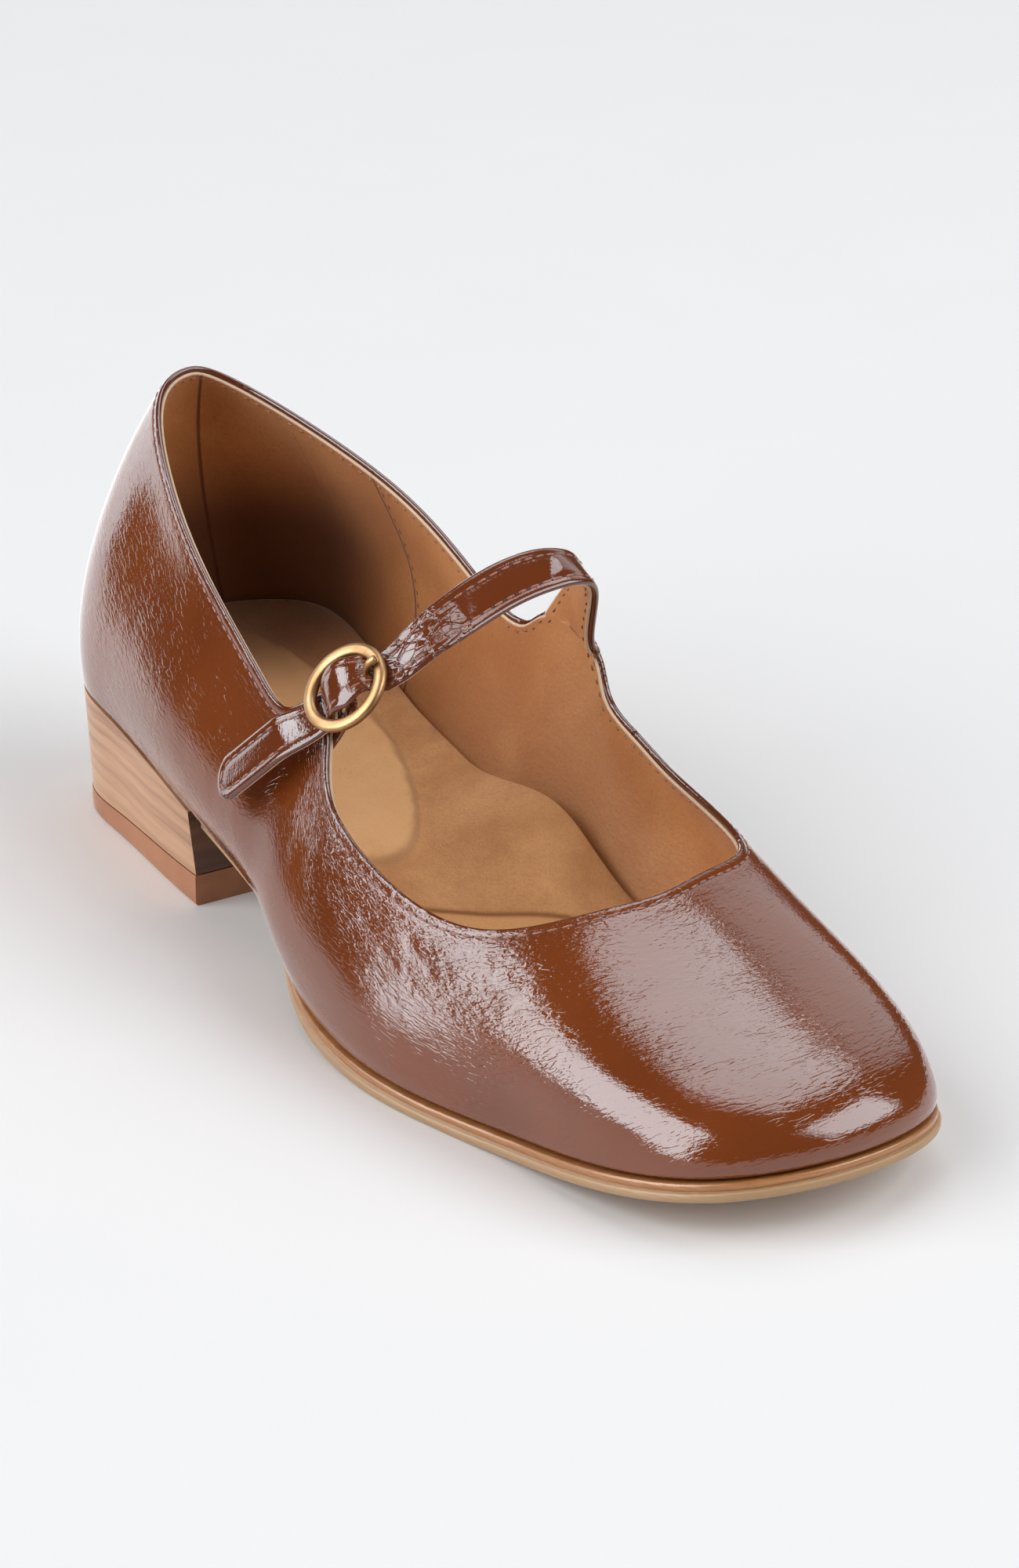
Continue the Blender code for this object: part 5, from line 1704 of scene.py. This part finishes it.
CAMERA_PLACE = Vector((-0.4335, -0.7137, 0.4228))
CAMERA_AIM = Vector((0.0074, -0.0042, 0.0406))
CAMERA_LENS = 106.0  # mm, on a 36 mm high picture
ROOM_LIGHT = (0.085, 0.088, 0.092)  # the room as it lights the shoe,
ROOM_GLOSS = (0.05, 0.05, 0.052)  # as the gloss reflects it
ROOM_SEEN = (0.90, 0.915, 0.93)  # and as the camera sees it
PANEL_DISTANCE = 4.0  # m
LIGHT_POWER = 4.0  # watts a square metre, for a brightness of 1
LIGHTS = (  # name, azimuth, elevation, width and height in degrees, brightness
    ("light_left", 174, 33, 56, 56, 2.05),
    ("light_front", -50, 38, 52, 44, 2.35),
    ("light_top", 40, 66, 44, 40, 1.1),
)
CARDS = (  # name, azimuth, elevation, width and height in degrees, brightness, softness across and up
    ("window_left", 175, 27, 60, 64, 8.4, 0.16, 0.3),
    ("window_front", -47, 34, 60, 46, 6.4, 0.45, 0.35),
    ("above_strap", 124, 44, 24, 25, 8.6, 0.35, 0.35),
    ("ceiling", 37, 62, 29, 64, 4.3, 0.24, 0.5),
    ("backdrop", 88, 2, 55, 28, 3.0, 0.07, 0.3),
    ("beside_toe", 34, 27, 30, 32, 1.3, 0.4, 0.4),
)
CARD_WHITE = (0.91, 0.98, 1.03)  # what the cards give off


def make_camera():
    """The photograph's viewing angle."""
    data = bpy.data.cameras.new("camera")
    data.lens = CAMERA_LENS
    data.sensor_fit = "AUTO"  # the longer side, which is the picture's height
    data.sensor_width = 36.0
    camera = bpy.data.objects.new("camera", data)
    camera.location = CAMERA_PLACE
    camera.rotation_euler = (CAMERA_AIM - CAMERA_PLACE).to_track_quat("-Z", "Y").to_euler()
    bpy.context.scene.collection.objects.link(camera)
    bpy.context.scene.camera = camera


def direction_to(azimuth, elevation):
    """The direction at these angles, in degrees, from +X round towards +Y and up."""
    azimuth, elevation = math.radians(azimuth), math.radians(elevation)
    level = math.cos(elevation)
    return Vector((math.cos(azimuth) * level, math.sin(azimuth) * level, math.sin(elevation)))


def place_panel(panel, azimuth, elevation):
    """Sets a lamp or a card in this direction, facing the shoe."""
    away = direction_to(azimuth, elevation)
    panel.location = away * PANEL_DISTANCE + CAMERA_AIM
    panel.rotation_euler = (-away).to_track_quat("-Z", "Y").to_euler()
    panel.visible_camera = False
    bpy.context.scene.collection.objects.link(panel)


def panel_size(width, height):
    """The size, in metres, of a panel that fills these angles, in degrees."""
    return [2 * PANEL_DISTANCE * math.tan(math.radians(angle / 2)) for angle in (width, height)]


def make_light(name, azimuth, elevation, width, height, brightness):
    """A soft panel that lights the shoe and floor, and doesn't show in the gloss."""
    data = bpy.data.lights.new(name, "AREA")
    data.shape = "RECTANGLE"
    data.size, data.size_y = panel_size(width, height)
    data.energy = brightness * LIGHT_POWER * data.size * data.size_y
    light = bpy.data.objects.new(name, data)
    place_panel(light, azimuth, elevation)
    light.visible_glossy = False


def make_card(name, azimuth, elevation, width, height, brightness, soft_across, soft_up):
    """A bright card that only shows in the gloss. It fades towards its edges."""
    mesh = bpy.data.meshes.new(name)
    mesh.from_pydata([(-1, -1, 0), (1, -1, 0), (1, 1, 0), (-1, 1, 0)], [], [(3, 2, 1, 0)])
    n = Nodes(name)
    along = n.add("SeparateXYZ", {0: n.add("TexCoord").outputs["Object"]}).outputs
    across = n.step(n.math("ABSOLUTE", along[0]), 1 - soft_across, 1, 1, 0)
    up = n.step(n.math("ABSOLUTE", along[1]), 1 - soft_up, 1, 1, 0)
    glow = n.times(n.times(across, up), brightness)
    mesh.materials.append(n.set(
        (0, 0, 0), 0.5, Specular_IOR_Level=0.0, Emission_Color=CARD_WHITE, Emission_Strength=glow,
    ))
    card = bpy.data.objects.new(name, mesh)
    place_panel(card, azimuth, elevation)
    card.scale = [size / 2 for size in panel_size(width, height)] + [1]
    card.visible_diffuse = False
    card.visible_shadow = False
    card.visible_transmission = False


def make_world():
    """A pale studio. It is seen as pale paper, lights evenly and is dim where the gloss reflects it."""
    n = Nodes("studio", "worlds")
    ray = n.add("LightPath").outputs
    colour = n.mix(ray["Is Glossy Ray"], ROOM_LIGHT, ROOM_GLOSS)
    colour = n.mix(ray["Is Camera Ray"], colour, ROOM_SEEN)
    n.put(n.tree.nodes["Background"].inputs["Color"], colour)
    bpy.context.scene.world = n.owner


def make_lights():
    """What a glossy shoe needs: lamps that light it without glare, and cards that show in its gloss."""
    make_world()
    for row in LIGHTS:
        make_light(*row)
    for row in CARDS:
        make_card(*row)


def build():
    """The whole scene."""
    patent = make_patent()
    make_upper(patent, make_lining(), make_thread())
    make_outsole(make_welt(), make_sole_edge(), make_tread())
    make_heel_block(
        make_stack("stacked_heel", STACK, STACK_LAYER), make_stack("stacked_breast_painted_shade", BREAST_PAINTED_SHADE, BREAST_LAYER)
    )
    make_heel_lift(make_rubber())
    make_insole(make_suede())
    brass = make_brass()
    make_ring(brass)
    make_prong(brass)
    make_keeper(patent)
    make_floor()
    make_camera()
    make_lights()


build()
bpy.context.scene.view_settings.view_transform = "Standard"
